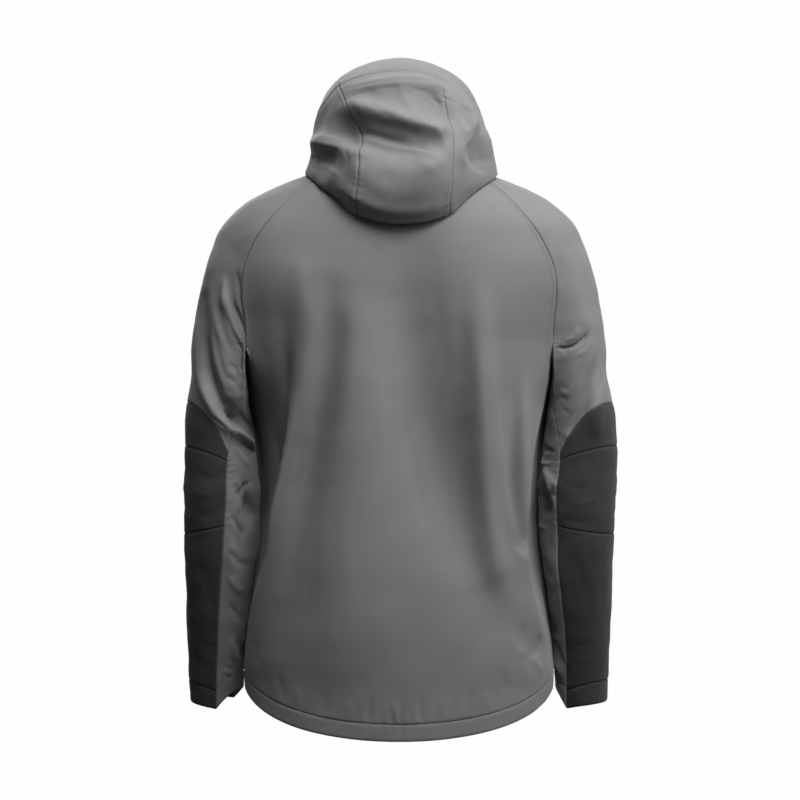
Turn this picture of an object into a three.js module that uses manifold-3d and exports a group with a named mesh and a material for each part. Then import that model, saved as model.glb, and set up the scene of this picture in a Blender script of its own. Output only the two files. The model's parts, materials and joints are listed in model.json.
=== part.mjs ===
import * as THREE from "three";
import { mergeVertices } from "three/addons/utils/BufferGeometryUtils.js";
import Module from "manifold-3d";

// A hooded softshell jacket, hollow and filled out as if it were worn: raglan sleeves with dark
// forearm panels, a long rounded tail, a standing collar behind a closed zip, and a hood that has
// slumped back. Millimetres, +Z up, front towards -Y, the wearer's left towards +X. The origin is
// the middle of the neck's base, which the wearer's shoulders carry.

// A table: the names of its columns, over its rows.
const named = (columns, rows) =>
  rows.map((row) => Object.fromEntries(columns.map((column, i) => [column, row[i]])));

const CLOTH = 1.6; // wall of one layer of softshell
const HEM_WALL = 2.4; // folded edges are thicker
const SEAM_GAP = 0.4; // between two panels that are sewn together
const ARMHOLE_FOOT = -214; // height where the armhole ends and the sleeve becomes a tube
const UNDERARM_DIP = 18; // how far the armhole's foot sags between its two corners
const UNDERARM_BOW = 3; // how far the body swells under the arm
const RESHAPE = 100; // height over which the split ring turns into plain ovals
const HEM_TALL = 23;
const HEM = { side: -681, back: -746, front: -691, curve: 1.25 }; // height of the hem's edge
const ZIP_HALF = 3.6;
const FRONT_EDGE = ZIP_HALF + SEAM_GAP; // where the front panels stop, each side of the zip
const DEG = Math.PI / 180;

// The body under the arms: half width, depth behind and in front, how square the oval is, and how
// far the sleeve presses its side in, at what depth.
const TORSO = named(
  ["z", "half", "back", "front", "square", "press", "pressY"],
  [
    [-770, 213, 120, 116, 0.1, 0, -30],
    [-690, 213, 121, 116, 0.1, 0, -30],
    [-640, 217, 122, 116, 0.12, 6, -10],
    [-570, 218, 122, 115, 0.14, 16, -4],
    [-500, 217, 121, 114, 0.16, 25, 2],
    [-430, 215, 120, 114, 0.17, 26, 2],
    [-363, 214, 122, 117, 0.18, 21, 0],
    [-290, 209, 126, 121, 0.19, 9, 6],
    [-214, 206, 128, 124, 0.2, 0, 0],
  ],
);
const PRESS_REACH = 46; // the pressed strip's half width, from front to back
const CORNER_ANGLE = 60 * DEG; // where the armhole's corner columns run down the body's oval

// The shoulders, from the armhole's foot (rise 0) to the neckline (rise 1). Each row is one ring
// round both shoulders; its height differs at the side, the back and the front. seam is the angle
// of the raglan seam, and valley how deep the cloth is drawn in along it.
const YOKE = named(
  ["rise", "half", "sideZ", "back", "backZ", "front", "frontZ", "square", "seam", "valley"],
  [
    [0.0, 285.7, -214, 128, -214, 124, -214, 0.19, 40.8, 0.25],
    [0.15, 281, -179, 130, -180, 125, -184, 0.185, 42.8, 0.2],
    [0.3, 275, -146, 130, -147, 124, -156, 0.18, 45.3, 0.13],
    [0.44, 267.5, -113, 129, -115, 121, -130, 0.17, 46.6, 0.07],
    [0.57, 256.5, -80, 126, -84, 116, -107, 0.15, 45.7, 0.03],
    [0.68, 243, -50, 121, -58, 110, -88, 0.14, 43.7, 0.01],
    [0.77, 223, -28, 114, -38, 104, -73, 0.13, 43.2, 0],
    [0.85, 197, -10, 105, -20, 97, -60, 0.12, 44.7, 0],
    [0.92, 158, 8, 93, -4, 89, -49, 0.1, 49, 0],
    [1.0, 86, 34, 75, 14, 79, -38, 0.05, 52, 0],
  ],
);
const VALLEY_SPREAD = 13 * DEG;

// The sleeve below the armhole: its middle, half width and half depth, how much further the
// wearer's right one bulges out, and the angle of the back seam on the wearer's left and right,
// from 0 at the outer side to 90 at the back.
const SLEEVE = named(
  ["z", "midX", "midY", "wide", "deep", "bulgeRight", "seamLeft", "seamRight"],
  [
    [-720, 254, -38, 36, 45, 0, 93, 127],
    [-690, 254, -34, 37, 46, 0, 93, 127],
    [-640, 253, -26, 40, 49, 0, 94, 124],
    [-570, 250, -12, 45, 53, -1, 95, 122],
    [-500, 246, 0, 50, 57, -1, 96, 123],
    [-430, 244, 6, 52, 61, 2, 99, 124],
    [-363, 246, 4, 49, 66, 6, 106, 126],
    [-290, 249, 0, 43, 74, 4, 129, 144],
    [-214, 246, 0, 40, 82, 0, 140, 150],
  ],
);
const SLEEVE_SQUARE = 0.08;
const TOP_SLEEVE_SPAN = 218 * DEG; // how far the outer panels reach round the arm

// Seams across the sleeve, with their height at the back seam, the outer side, the front seam and
// the inner side. step is the row's place along the sleeve, and rows the grid rows up to the next.
const SLEEVE_LEVELS = named(
  ["step", "back", "outer", "front", "inner", "rows"],
  [
    [0, -716, -708, -709, -690, 1], // the cuff's end
    [1, -691, -677, -681, -664, 6], // the cuff's seam
    [2, -461, -473, -461, -454, 3], // the elbow patch's foot
    [3, -373, -352, -370, -366, 2], // and its head
    [4, -361, -293, -358, -340, 4], // the dark panels' upper edge
    [5, -214, -214, -214, -232, 9], // the armhole's foot, and from there to the neckline
  ],
);
const PANEL_HEAD_CURVE = 2.3; // how sharply the dark panel's upper edge drops towards its seams

// The hood as a fan of rings, from its loose lower edge (fan 0) to the face opening (fan 1). Each
// ring runs from one side of the zip round the back of the head: the height and depth of its two
// front ends and of its top, its half width, how far its middle leans to the wearer's left, how
// much of the lower edge's saddle it keeps, and the angles of the middle panel's two seams.
const HOOD = named(
  ["fan", "endY", "endZ", "topY", "topZ", "half", "lean", "saddle", "left", "right"],
  [
    [0.0, -86, -42, 130, -54, 132, -4, 1.0, 27, -28],
    [0.06, -87, -37, 143, -38, 131, -4, 0.99, 27, -29],
    [0.13, -88, -31, 153, -17, 129.5, -4, 0.95, 27.5, -31],
    [0.22, -89, -24, 159, 9, 127, -4, 0.88, 28, -33],
    [0.32, -90, -17, 158, 37, 125, -3, 0.78, 29, -35],
    [0.42, -91, -10, 150, 63, 123, -1, 0.66, 30, -37],
    [0.5, -92, -5, 141, 84, 121.5, 0, 0.54, 32, -36],
    [0.58, -92, 1, 131, 104, 120, 0, 0.42, 36, -33.5],
    [0.66, -93, 6, 117, 123, 118.5, 0, 0.31, 40, -30.5],
    [0.74, -93, 11, 97, 143, 117, 0, 0.2, 43.5, -27.5],
    [0.8, -94, 15, 78, 155, 115.5, 0, 0.13, 45.5, -26],
    [0.87, -94, 19, 53, 167, 114, 0, 0.07, 47, -24.5],
    [0.94, -94, 24, 26, 177, 112.5, 0, 0.03, 48.5, -23],
    [1.0, -94, 28, 2, 182, 110.5, 1, 0, 50, -22],
  ],
);
const HOOD_SWEEP = 164 * DEG; // from the middle of the back to each front end of a ring
const HOOD_EDGE_RISE = 55; // how much the loose edge climbs from the middle of the back
const HOOD_REST = 2.2; // its lowest roll lies this far above the shoulders
const HOOD_TUCK = 0.12; // below fan 0 the cloth turns in under the roll, to the seam at the neck
const TUCK_LIFT = 3.5; // and its middle stands this much further off the shoulders
const BRIM_FAN = 0.8;

const COLLAR_TALL = { side: 60, back: 62, front: 68 };
const COLLAR_LEAN = { side: -5, back: -4, front: 6 };

// The largest folds, as soft ridges (high above 0) and troughs (below 0), each through three points
// of the back (face 1) or the front (face -1): x, z and height at its start, middle and end.
const FOLD_COLUMNS = [
  ...["face", "wide"],
  ...["x0", "z0", "high0"],
  ...["x1", "z1", "high1"],
  ...["x2", "z2", "high2"],
];
const BODY_FOLDS = named(FOLD_COLUMNS, [
  // the back: drape falling from the shoulder blades to the tail
  [1, 15.8, 127.8, -136, 4.5, 135.4, -279, 5.1, 200.4, -477, 6.9],
  [1, 46, 148.7, -130, 3.5, 110, -225, -3, 134.5, -340, -5],
  [1, 13, 160, -150, -0.5, 157, -205, -4, 152, -262, -5],
  [1, 19.4, 85.7, -130, 0.2, 101.4, -290, -13.3, 143.8, -503, -2.6],
  [1, 60.6, 32.5, -156, -1.1, 63.5, -343, 14.7, 50.7, -557, 10.7],
  [1, 51.7, -12, -120, -10, -41.9, -330, -21.2, -114.3, -530, -6.5],
  [1, 18, -108.1, -170, 5.7, -110.4, -317, 15.8, -127.7, -503, 7.9],
  [1, 10, -154.1, -270, -1.7, -155.3, -343, -5.2, -150.3, -430, -0.8],
  [1, 9.5, -168.7, -290, 4.7, -163.8, -383, 12.1, -170.8, -477, -4.7],
  [1, 41.4, 132, -397, -2.2, 92.7, -503, 3.9, 92.8, -610, 6.1],
  [1, 20.8, -120.2, -450, 2.2, -143.1, -544, 3.4, -190.1, -624, -5.3],
  // the front: it swells where the sleeves press it in, then plain drape from the chest
  [-1, 18, 204, -245, 3, 204, -295, 4.5, 204, -345, 3],
  [-1, 18, -204, -235, 3, -204, -280, 4.5, -204, -345, 3],
  [-1, 18, 202, -560, 1, 204, -590, 2.5, 206, -630, 2.5],
  [-1, 18, -202, -560, 1, -204, -590, 3, -206, -630, 3],
  [-1, 26, 105, -200, 3.6, 115, -380, 6, 125, -560, 2.4],
  [-1, 28, -105, -220, 3.6, -112, -400, 6, -118, -580, 2.4],
  [-1, 22, 62, -240, -2.4, 67, -380, -4, 72, -520, -1.6],
  [-1, 24, -60, -180, -2.4, -65, -320, -4, -70, -460, -1.6],
]);
// Beyond an edge down each side of the back, the cloth drops away towards the sleeve: the edge's
// distance from the middle, and the drop, on the wearer's left and right.
const TUCK = named(
  ["z", "leftX", "leftDrop", "rightX", "rightDrop"],
  [
    [-680, 214, 0, 210, 0],
    [-630, 208, 4, 200, 4],
    [-575, 201, 20, 189, 12],
    [-520, 189, 36, 180, 24],
    [-465, 175, 42, 174, 28],
    [-410, 163, 42, 179, 26],
    [-355, 152, 34, 184, 22],
    [-300, 143, 20, 194, 12],
    [-250, 138, 7, 202, 3],
    [-214, 134, 0, 205, 0],
  ],
);
const TUCK_SOFT = 16; // the drop is done over this much of the way out
const TUCK_FRONT = 15; // it starts this far in front of the middle
const TUCK_WAY = 80; // and is whole this much further back
const SLEEVE_FOLDS = named(FOLD_COLUMNS, [
  // the wearer's left: a long trough from the shoulder curls into the bend of the elbow
  [1, 8, 267, -154, -5, 258, -245, -13, 226, -314, -8],
  [1, 8, 276, -210, 2, 259, -288, 7, 223, -333, 7],
  [1, 6, 235, -136, 4, 229, -180, 10, 205, -225, 6],
  [1, 6.5, 224, -150, -3, 215, -184, -10, 205, -208, -4],
  [1, 7, 228, -300, -4, 216, -320, -10, 192, -345, -4],
  [1, 7, 222, -325, 1, 209, -345, 8, 196, -357, 2],
  [1, 9, 222, -401, -1, 207, -428, -8, 195, -455, -4],
  [1, 11, 221, -498, 5, 224, -568, 3, 215, -615, 2],
  [1, 20, 245, -192, 1, 232, -233, 5, 223, -276, 5],
  // the wearer's right: a pleat at the armpit, and drag lines to the elbow
  [1, 6, -252, -201, -3, -242, -220, -11, -217, -224, -6],
  [1, 11, -278, -194, -2, -260, -271, -5, -224, -338, -4],
  [1, 15, -234, -239, 2, -228, -272, 5, -218, -308, 4],
  [1, 11, -262, -200, 3, -266, -262, 8, -266, -323, 5],
  [1, 10, -226, -340, 3, -207, -368, -4, -200, -400, 2],
  [1, 9, -214, -409, 2, -199, -430, -8, -198, -492, -4],
  [1, 12, -214, -510, 4, -221, -560, 4, -219, -616, 2],
  // the front of the left elbow
  [-1, 15, 262, -330, -4.2, 237, -351, -7, 212, -372, -2.8],
  [-1, 15, 258, -400, -3.6, 231, -412, -6, 205, -425, -2.4],
  [-1, 13, 250, -365, 3, 228, -381, 5, 205, -398, 2],
  // the front of the right elbow
  [-1, 15, -262, -345, -4.2, -237, -362, -7, -212, -380, -2.8],
  [-1, 15, -256, -415, -3.6, -230, -428, -6, -205, -440, -2.4],
  [-1, 13, -250, -380, 3, -228, -395, 5, -205, -410, 2],
]);
// The hood's: it has caved in across its middle and over both ears.
const HOOD_FOLDS = named(FOLD_COLUMNS, [
  [1, 39.5, 80.5, 76.9, -19, 3, 60, -27.3, -43, 77.9, -15.7],
  [1, 14.1, 54.7, 99.9, 17.1, -43.3, 75.2, 17.4, -41.5, 79.9, 10.7],
  [1, 13.7, 72.8, 33.1, 5.8, 11, 1.4, -3.3, -39.6, 20, 6],
  [1, 20.3, 119, 23.7, -10.2, 107.7, 29.9, -11, 83.1, 63.5, -9.2],
  [1, 10.4, 127.8, 73.2, 2.7, 108.1, 56.9, 11.8, 57.4, 42.2, 6.4],
  [1, 16.5, -98.4, 60.9, 0.5, -111.4, 42.6, -10.7, -113.8, 13.8, -9.2],
  [1, 8.2, -101.5, 29.3, -1.2, -111.9, 14.7, 2, -122.3, -2, 1.9],
  [1, 10.7, 106, 17.2, -4.4, 118.6, -18.1, -1.2, 75.4, -15.3, -1.3],
  [1, 10, 87, 123.4, -0.3, -39.2, 133.7, 12.3, -69, 90.2, 1.2],
  [1, 7, -78.5, 134.3, 5.8, -99.8, 91.8, 10.5, -97.3, 73.9, 4.6],
  [1, 10.4, 86.1, 0.1, 6, 4, -47.7, 13, -82.7, -29.5, -0.3],
]);

const ARMHOLE_CORNER_X = 208;
const CORNER_CALM = 60; // no fold nearer than this to an armhole's corner is at its full height
const FOLD_SIDE = 45; // a fold of the back or front has faded out where the depth is this small
const FOLD_TAIL = 1.6; // a fold's ends fade over this many of its widths
const FOLD_STEPS = 8; // straight steps along a fold's path

const CLOTH_GREY = { color: 0x6f7173, roughness: 0.78, metalness: 0 };
const CLOTH_DARK = { color: 0x2b2c2e, roughness: 0.85, metalness: 0 };
const ZIP_DARK = { color: 0x1d1e20, roughness: 0.55, metalness: 0 };
const ZIP_METAL = { color: 0x3a3b3d, roughness: 0.4, metalness: 0.8 };

const clamp = (x, low, high) => Math.min(Math.max(x, low), high);
const mix = (a, b, share) => a + (b - a) * share;
const ease = (x) => {
  const t = clamp(x, 0, 1);
  return t * t * (3 - 2 * t);
};

// A smooth curve through one column of a table, by another column that rises.
function curve(table, by, column) {
  const xs = table.map((row) => row[by]);
  const ys = table.map((row) => row[column]);
  const last = xs.length - 1;
  const slopes = xs.map((_, i) => {
    const [a, b] = [Math.max(i - 1, 0), Math.min(i + 1, last)];
    return (ys[b] - ys[a]) / (xs[b] - xs[a]);
  });
  return (value) => {
    const x = clamp(value, xs[0], xs[last]);
    let i = 0;
    while (i < last - 1 && x > xs[i + 1]) i++;
    const span = xs[i + 1] - xs[i];
    const t = (x - xs[i]) / span;
    const rise = ys[i + 1] - ys[i];
    const bend = slopes[i] * span - rise;
    const unbend = rise - slopes[i + 1] * span;
    return ys[i] + t * rise + t * (1 - t) * ((1 - t) * bend + t * unbend);
  };
}

// All of a table's columns as curves.
const curves = (table, by) =>
  Object.fromEntries(
    Object.keys(table[0])
      .filter((column) => column !== by)
      .map((column) => [column, curve(table, by, column)]),
  );

const torso = curves(TORSO, "z");
const tuck = curves(TUCK, "z");
const yoke = curves(YOKE, "rise");
const arm = curves(SLEEVE, "z");
const fan = curves(HOOD, "fan");

// A squared oval: angle 0 is the middle of the back, 90 degrees the side, 180 the front.
function oval(half, back, front, square, angle) {
  const [s, c] = [Math.sin(angle), Math.cos(angle)];
  return [half * s * (1 + square * c * c), (c > 0 ? back : front) * c * (1 + square * s * s)];
}

// The quadratic that is start at t = 0, middle at t = 1/2 and end at t = 1.
const through = (start, middle, end, t) =>
  start * (1 - t) * (1 - 2 * t) + middle * 4 * t * (1 - t) + end * t * (2 * t - 1);

// A fold's height at a place. Its path is the quadratic through its points, as short straight
// steps; its height is a bell curve of the distance from the nearest, and fades past its ends.
function foldAt(f, x, z) {
  const point = (i) => {
    const t = i / FOLD_STEPS;
    return [through(f.x0, f.x1, f.x2, t), through(f.z0, f.z1, f.z2, t)];
  };
  let [nearest, high] = [Infinity, 0];
  for (let i = 0; i < FOLD_STEPS; i++) {
    const [[ax, az], [bx, bz]] = [point(i), point(i + 1)];
    const [dx, dz] = [bx - ax, bz - az];
    const square = dx * dx + dz * dz;
    const share = ((x - ax) * dx + (z - az) * dz) / square;
    const held = clamp(share, 0, 1);
    const away = (x - ax - held * dx) ** 2 + (z - az - held * dz) ** 2;
    if (away >= nearest) continue;
    const atEnd = (i === 0 && share < 0) || (i === FOLD_STEPS - 1 && share > 1);
    const past = atEnd ? (share - held) ** 2 * square : 0;
    const bell = Math.exp(-(away - past) / f.wide ** 2 - past / (FOLD_TAIL * f.wide) ** 2);
    nearest = away;
    high = bell * through(f.high0, f.high1, f.high2, (i + held) / FOLD_STEPS);
  }
  return high;
}

// How far the folds move the cloth out at a point.
function foldHeight(folds, x, y, z) {
  const toCorner = Math.hypot(Math.abs(x) - ARMHOLE_CORNER_X, z - ARMHOLE_FOOT);
  const sum = folds.reduce((total, f) => total + ease((f.face * y) / FOLD_SIDE) * foldAt(f, x, z), 0);
  return sum * ease(toCorner / CORNER_CALM - 0.2);
}

// How far the back's side lies inwards, on one side of the middle.
function sideDrop(side, x, y, z) {
  const [edge, drop] = side > 0 ? [tuck.leftX, tuck.leftDrop] : [tuck.rightX, tuck.rightDrop];
  return drop(z) * ease((x - edge(z)) / TUCK_SOFT) * ease((y + TUCK_FRONT) / TUCK_WAY);
}

// The ring round both shoulders, with the cloth drawn in along the raglan seams.
function yokeRing(angle, rise) {
  const seam = yoke.seam(rise) * DEG;
  const near = (edge) => Math.exp(-(((angle - edge) / VALLEY_SPREAD) ** 2));
  const drawn = 1 - yoke.valley(rise) * (near(seam) + near(Math.PI - seam));
  const [x, y] = oval(yoke.half(rise), yoke.back(rise), yoke.front(rise), yoke.square(rise), angle);
  const side = Math.sin(angle) ** 2;
  const ends = Math.cos(angle) > 0 ? yoke.backZ(rise) : yoke.frontZ(rise);
  return new THREE.Vector3(x, y * drawn, mix(ends, yoke.sideZ(rise), side));
}

// The angle on the shoulder ring of a column: 0 to 1 from the back's middle to the raglan seam,
// 1 to 2 over the shoulder, 2 to 3 from the front seam to the front's middle.
function yokeAngle(column, rise) {
  const seam = yoke.seam(rise) * DEG;
  if (column < 1) return seam * column;
  if (column < 2) return mix(seam, Math.PI - seam, column - 1);
  return mix(Math.PI - seam, Math.PI, column - 2);
}

// The hem's edge: the tail hangs lower than the sides, and the front a little lower than them.
function hemLow(angle) {
  const end = Math.cos(angle) > 0 ? HEM.back : HEM.front;
  return mix(HEM.side, end, Math.abs(Math.cos(angle)) ** HEM.curve);
}

// The body at a column (0 back's middle, 1 and 2 the armhole's corners, 3 front's middle) and a
// level (0 hem seam, 1 armhole's foot, 2 neckline; below 0 is the hem band).
function bodyPlain(column, level) {
  if (level > 1) return yokeRing(yokeAngle(column, level - 1), level - 1);
  const underarm = column > 1 && column < 2 ? Math.sin(Math.PI * (column - 1)) : 0;
  const corner = [CORNER_ANGLE, Math.PI - CORNER_ANGLE];
  let angle = column * corner[0];
  if (column > 1) angle = mix(corner[0], corner[1], clamp(column - 1, 0, 1));
  if (column > 2) angle = mix(corner[1], Math.PI, column - 2);
  const foot = ARMHOLE_FOOT - UNDERARM_DIP * underarm;
  const seam = hemLow(angle) + HEM_TALL;
  const z = level < 0 ? seam + level * HEM_TALL : mix(seam, foot, level);
  const split = yokeRing(yokeAngle(column, 0), 0);
  if (underarm) {
    const [back, front] = [yokeRing(yokeAngle(1, 0), 0), yokeRing(yokeAngle(2, 0), 0)];
    split.lerpVectors(back, front, column - 1);
    split.x += UNDERARM_BOW * underarm;
  }
  const plain = oval(torso.half(z), torso.back(z), torso.front(z), torso.square(z), angle);
  const pressed = Math.exp(-(((plain[1] - torso.pressY(z)) / PRESS_REACH) ** 2));
  plain[0] -= torso.press(z) * pressed * Math.sin(angle);
  const share = ease((foot - z) / RESHAPE);
  return new THREE.Vector3(mix(split.x, plain[0], share), mix(split.y, plain[1], share), z);
}

// The height of a row of the sleeve at a column (0 back seam, 0.5 outer side, 1 front seam, 1.5
// inner side), level 0 at the cuff's end and 1 at the armhole's foot.
const LEVELS_BELOW = SLEEVE_LEVELS.length - 1;
function sleeveHeight(column, level) {
  const step = level * LEVELS_BELOW;
  const exact = (name) => {
    const i = clamp(Math.floor(step), 0, LEVELS_BELOW - 1);
    return mix(SLEEVE_LEVELS[i][name], SLEEVE_LEVELS[i + 1][name], step - i);
  };
  const outer = column <= 1;
  const off = Math.abs(2 * (outer ? column : column - 1) - 1);
  const seamName = (outer ? column < 0.5 : column > 1.5) ? "back" : "front";
  return mix(exact(outer ? "outer" : "inner"), exact(seamName), off ** PANEL_HEAD_CURVE);
}

// The sleeve on one side (1 the wearer's left, -1 the right). Level 0 is the cuff's end, 1 the
// armhole's foot and 2 the neckline, where only the outer columns from 0 to 1 go on.
function sleevePlain(side, column, level) {
  if (level > 1) return yokeRing(yokeAngle(1 + column, level - 1), level - 1);
  const round = ((column % 2) + 2) % 2;
  const z = sleeveHeight(round, level);
  const seam = (side > 0 ? arm.seamLeft(z) : arm.seamRight(z)) * DEG;
  const far = seam - TOP_SLEEVE_SPAN;
  const angle = round <= 1 ? mix(seam, far, round) : mix(far, seam - 2 * Math.PI, round - 1);
  const bulge = side < 0 ? arm.bulgeRight(z) / 2 : 0;
  const wide = arm.wide(z) + bulge;
  const [across, out] = oval(arm.deep(z), wide, wide, SLEEVE_SQUARE, angle);
  const split = new THREE.Vector3();
  if (round <= 1) split.copy(yokeRing(yokeAngle(1 + round, 0), 0));
  else {
    const inner = Math.sin(Math.PI * (round - 1));
    split.lerpVectors(yokeRing(yokeAngle(2, 0), 0), yokeRing(yokeAngle(1, 0), 0), round - 1);
    split.x += UNDERARM_BOW * inner + SEAM_GAP + 0.3;
  }
  const share = ease((ARMHOLE_FOOT - z) / RESHAPE);
  return new THREE.Vector3(
    mix(split.x, arm.midX(z) + bulge + out, share),
    mix(split.y, arm.midY(z) + across, share),
    z,
  );
}

// The outward normal of a surface at two parameters. A surface whose top is 1 ends there, and one
// that goes on past 1 has the normal from just above it. turn is 1 where columns run clockwise
// seen from above.
const STEP = 1e-3;
function outward(surface, column, level, top, turn) {
  const at = top > 1 && Math.abs(level - 1) < STEP ? 1 + 2 * STEP : level;
  const [low, high] = [at - STEP, at > top ? at + STEP : Math.min(at + STEP, top)];
  const across = surface(column + STEP, level).sub(surface(column - STEP, level));
  const along = surface(column, high).sub(surface(column, low));
  return along.cross(across).multiplyScalar(turn).normalize();
}

// The body's finished surface, folds included, on one side of the middle.
function bodySurface(side) {
  return (column, level) => {
    const p = bodyPlain(column, level);
    const top = column > 1 && column < 2 ? 1 : 2;
    const normal = outward(bodyPlain, column, level, top, 1);
    const under = column > 1 && column < 2 ? Math.sin(Math.PI * (column - 1)) : 0;
    const calm = mix(1, ease((ARMHOLE_FOOT - p.z) / 60), under);
    const fold = foldHeight(BODY_FOLDS, side * p.x, p.y, p.z) - sideDrop(side, p.x, p.y, p.z);
    p.addScaledVector(normal, fold * calm);
    p.x *= side;
    return p;
  };
}

// The sleeve's finished surface. Over the shoulder it shares the body's folds, so that the raglan
// seam stays closed, and its own fade out towards that seam.
function sleeveSurface(side) {
  const plain = (column, level) => sleevePlain(side, column, level);
  return (column, level) => {
    const p = plain(column, level);
    const round = ((column % 2) + 2) % 2;
    const top = round <= 1 ? 2 : 1;
    const normal = outward(plain, column, level, top, 1);
    const below = ease((ARMHOLE_FOOT - p.z) / 60);
    const fromSeam = round <= 1 ? ease(9 * Math.min(round, 1 - round)) : 0;
    const under = round > 1 && level <= 1 ? Math.sin(Math.PI * (round - 1)) : 0;
    const own = foldHeight(SLEEVE_FOLDS, side * p.x, p.y, p.z) * mix(fromSeam, 1, below);
    const shared = foldHeight(BODY_FOLDS, side * p.x, p.y, p.z) * (1 - below) * (1 - under);
    p.addScaledVector(normal, own + shared);
    p.x *= side;
    return p;
  };
}

// The shoulders' height at a place seen from above: the ring that passes through it, by halving.
function shoulderHeight(x, y) {
  let [low, high] = [0, 1];
  let angle = 0;
  for (let i = 0; i < 30; i++) {
    const rise = (low + high) / 2;
    const depth = y > 0 ? yoke.back(rise) : yoke.front(rise);
    angle = Math.atan2(Math.abs(x) / yoke.half(rise), y / depth);
    const ring = yokeRing(angle, rise);
    const reach = (px, py) => Math.hypot(px / yoke.half(rise), py / depth);
    if (reach(x, y) < reach(ring.x, ring.y)) low = rise;
    else high = rise;
  }
  return yokeRing(angle, low).z;
}

// The hood: column 0 to 1 is the wearer's left side panel from its front end, 1 to 2 the middle
// panel and 2 to 3 the right side panel.
function hoodPlain(column, ring) {
  if (ring < 0) return hoodTuck(column, Math.min(-ring / HOOD_TUCK, 1));
  const [left, right] = [fan.left(ring) * DEG, fan.right(ring) * DEG];
  let angle = mix(HOOD_SWEEP, left, column);
  if (column > 1) angle = mix(left, right, column - 1);
  if (column > 2) angle = mix(right, -HOOD_SWEEP, column - 2);
  const end = Math.cos(HOOD_SWEEP);
  const share = (Math.cos(angle) - end) / (1 - end);
  const half = fan.half(ring);
  const x = half * Math.sin(angle) + fan.lean(ring);
  const y = mix(fan.endY(ring), fan.topY(ring), share);
  const level = mix(fan.endZ(ring), fan.topZ(ring), share);
  // the loose edge rests on the shoulders and hangs free behind the neck
  const edgeX = HOOD[0].half * Math.sin(angle);
  const edgeY = mix(HOOD[0].endY, HOOD[0].topY, share);
  const flat = mix(HOOD[0].endZ, HOOD[0].topZ, share);
  const free = HOOD[0].topZ + HOOD_EDGE_RISE * Math.sin(angle) ** 2;
  const rest = shoulderHeight(edgeX, edgeY) + HOOD_REST + CLOTH;
  const edge = Math.cos(angle) > 0 ? Math.max(rest, free) : rest;
  return new THREE.Vector3(x, y, level + fan.saddle(ring) * (edge - flat));
}

// The turned-in foot, from the lowest roll (share 0) to the neck seam (share 1).
function hoodTuck(column, share) {
  const roll = hoodPlain(column, 0);
  const angle = Math.atan2(roll.x / HOOD[0].half, roll.y / HOOD[0].topY);
  const last = YOKE[YOKE.length - 1];
  const clear = 4 * SEAM_GAP;
  const [x, y] = oval(last.half + clear, last.back + clear, last.front + clear, last.square, angle);
  const p = new THREE.Vector3(mix(roll.x, x, share), mix(roll.y, y, share), 0);
  const rest = shoulderHeight(p.x, p.y) + HOOD_REST + TUCK_LIFT * Math.sin(Math.PI * share);
  p.z = Math.max(rest, mix(roll.z, rest, share));
  return p;
}

function hoodSurface(column, ring) {
  const p = hoodPlain(column, ring);
  const normal = outward(hoodPlain, column, ring, 1, -1);
  const calm = ease(ring / 0.15);
  return p.addScaledVector(normal, calm * foldHeight(HOOD_FOLDS, p.x, p.y, p.z));
}

// The collar: column 0 to 1 from the back's middle to the zip on one side, level 0 to 1 upwards.
function collarSurface(side) {
  return (column, level) => {
    const angle = Math.PI * Math.abs(column);
    const [s, c] = [Math.sin(angle) ** 2, Math.cos(angle)];
    const last = YOKE[YOKE.length - 1];
    const half = last.half + COLLAR_LEAN.side * level;
    const back = last.back + COLLAR_LEAN.back * level;
    const front = last.front + COLLAR_LEAN.front * level;
    const [x, y] = oval(half, back, front, last.square, angle);
    const foot = mix(c > 0 ? last.backZ : last.frontZ, last.sideZ, s);
    const tall = mix(c > 0 ? COLLAR_TALL.back : COLLAR_TALL.front, COLLAR_TALL.side, s);
    return new THREE.Vector3(side * Math.sign(column || 1) * x, y, foot + SEAM_GAP + tall * level);
  };
}

// Evenly spaced numbers, both ends included.
const spread = (from, to, count) =>
  Array.from({ length: count + 1 }, (_, i) => mix(from, to, i / count));

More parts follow.
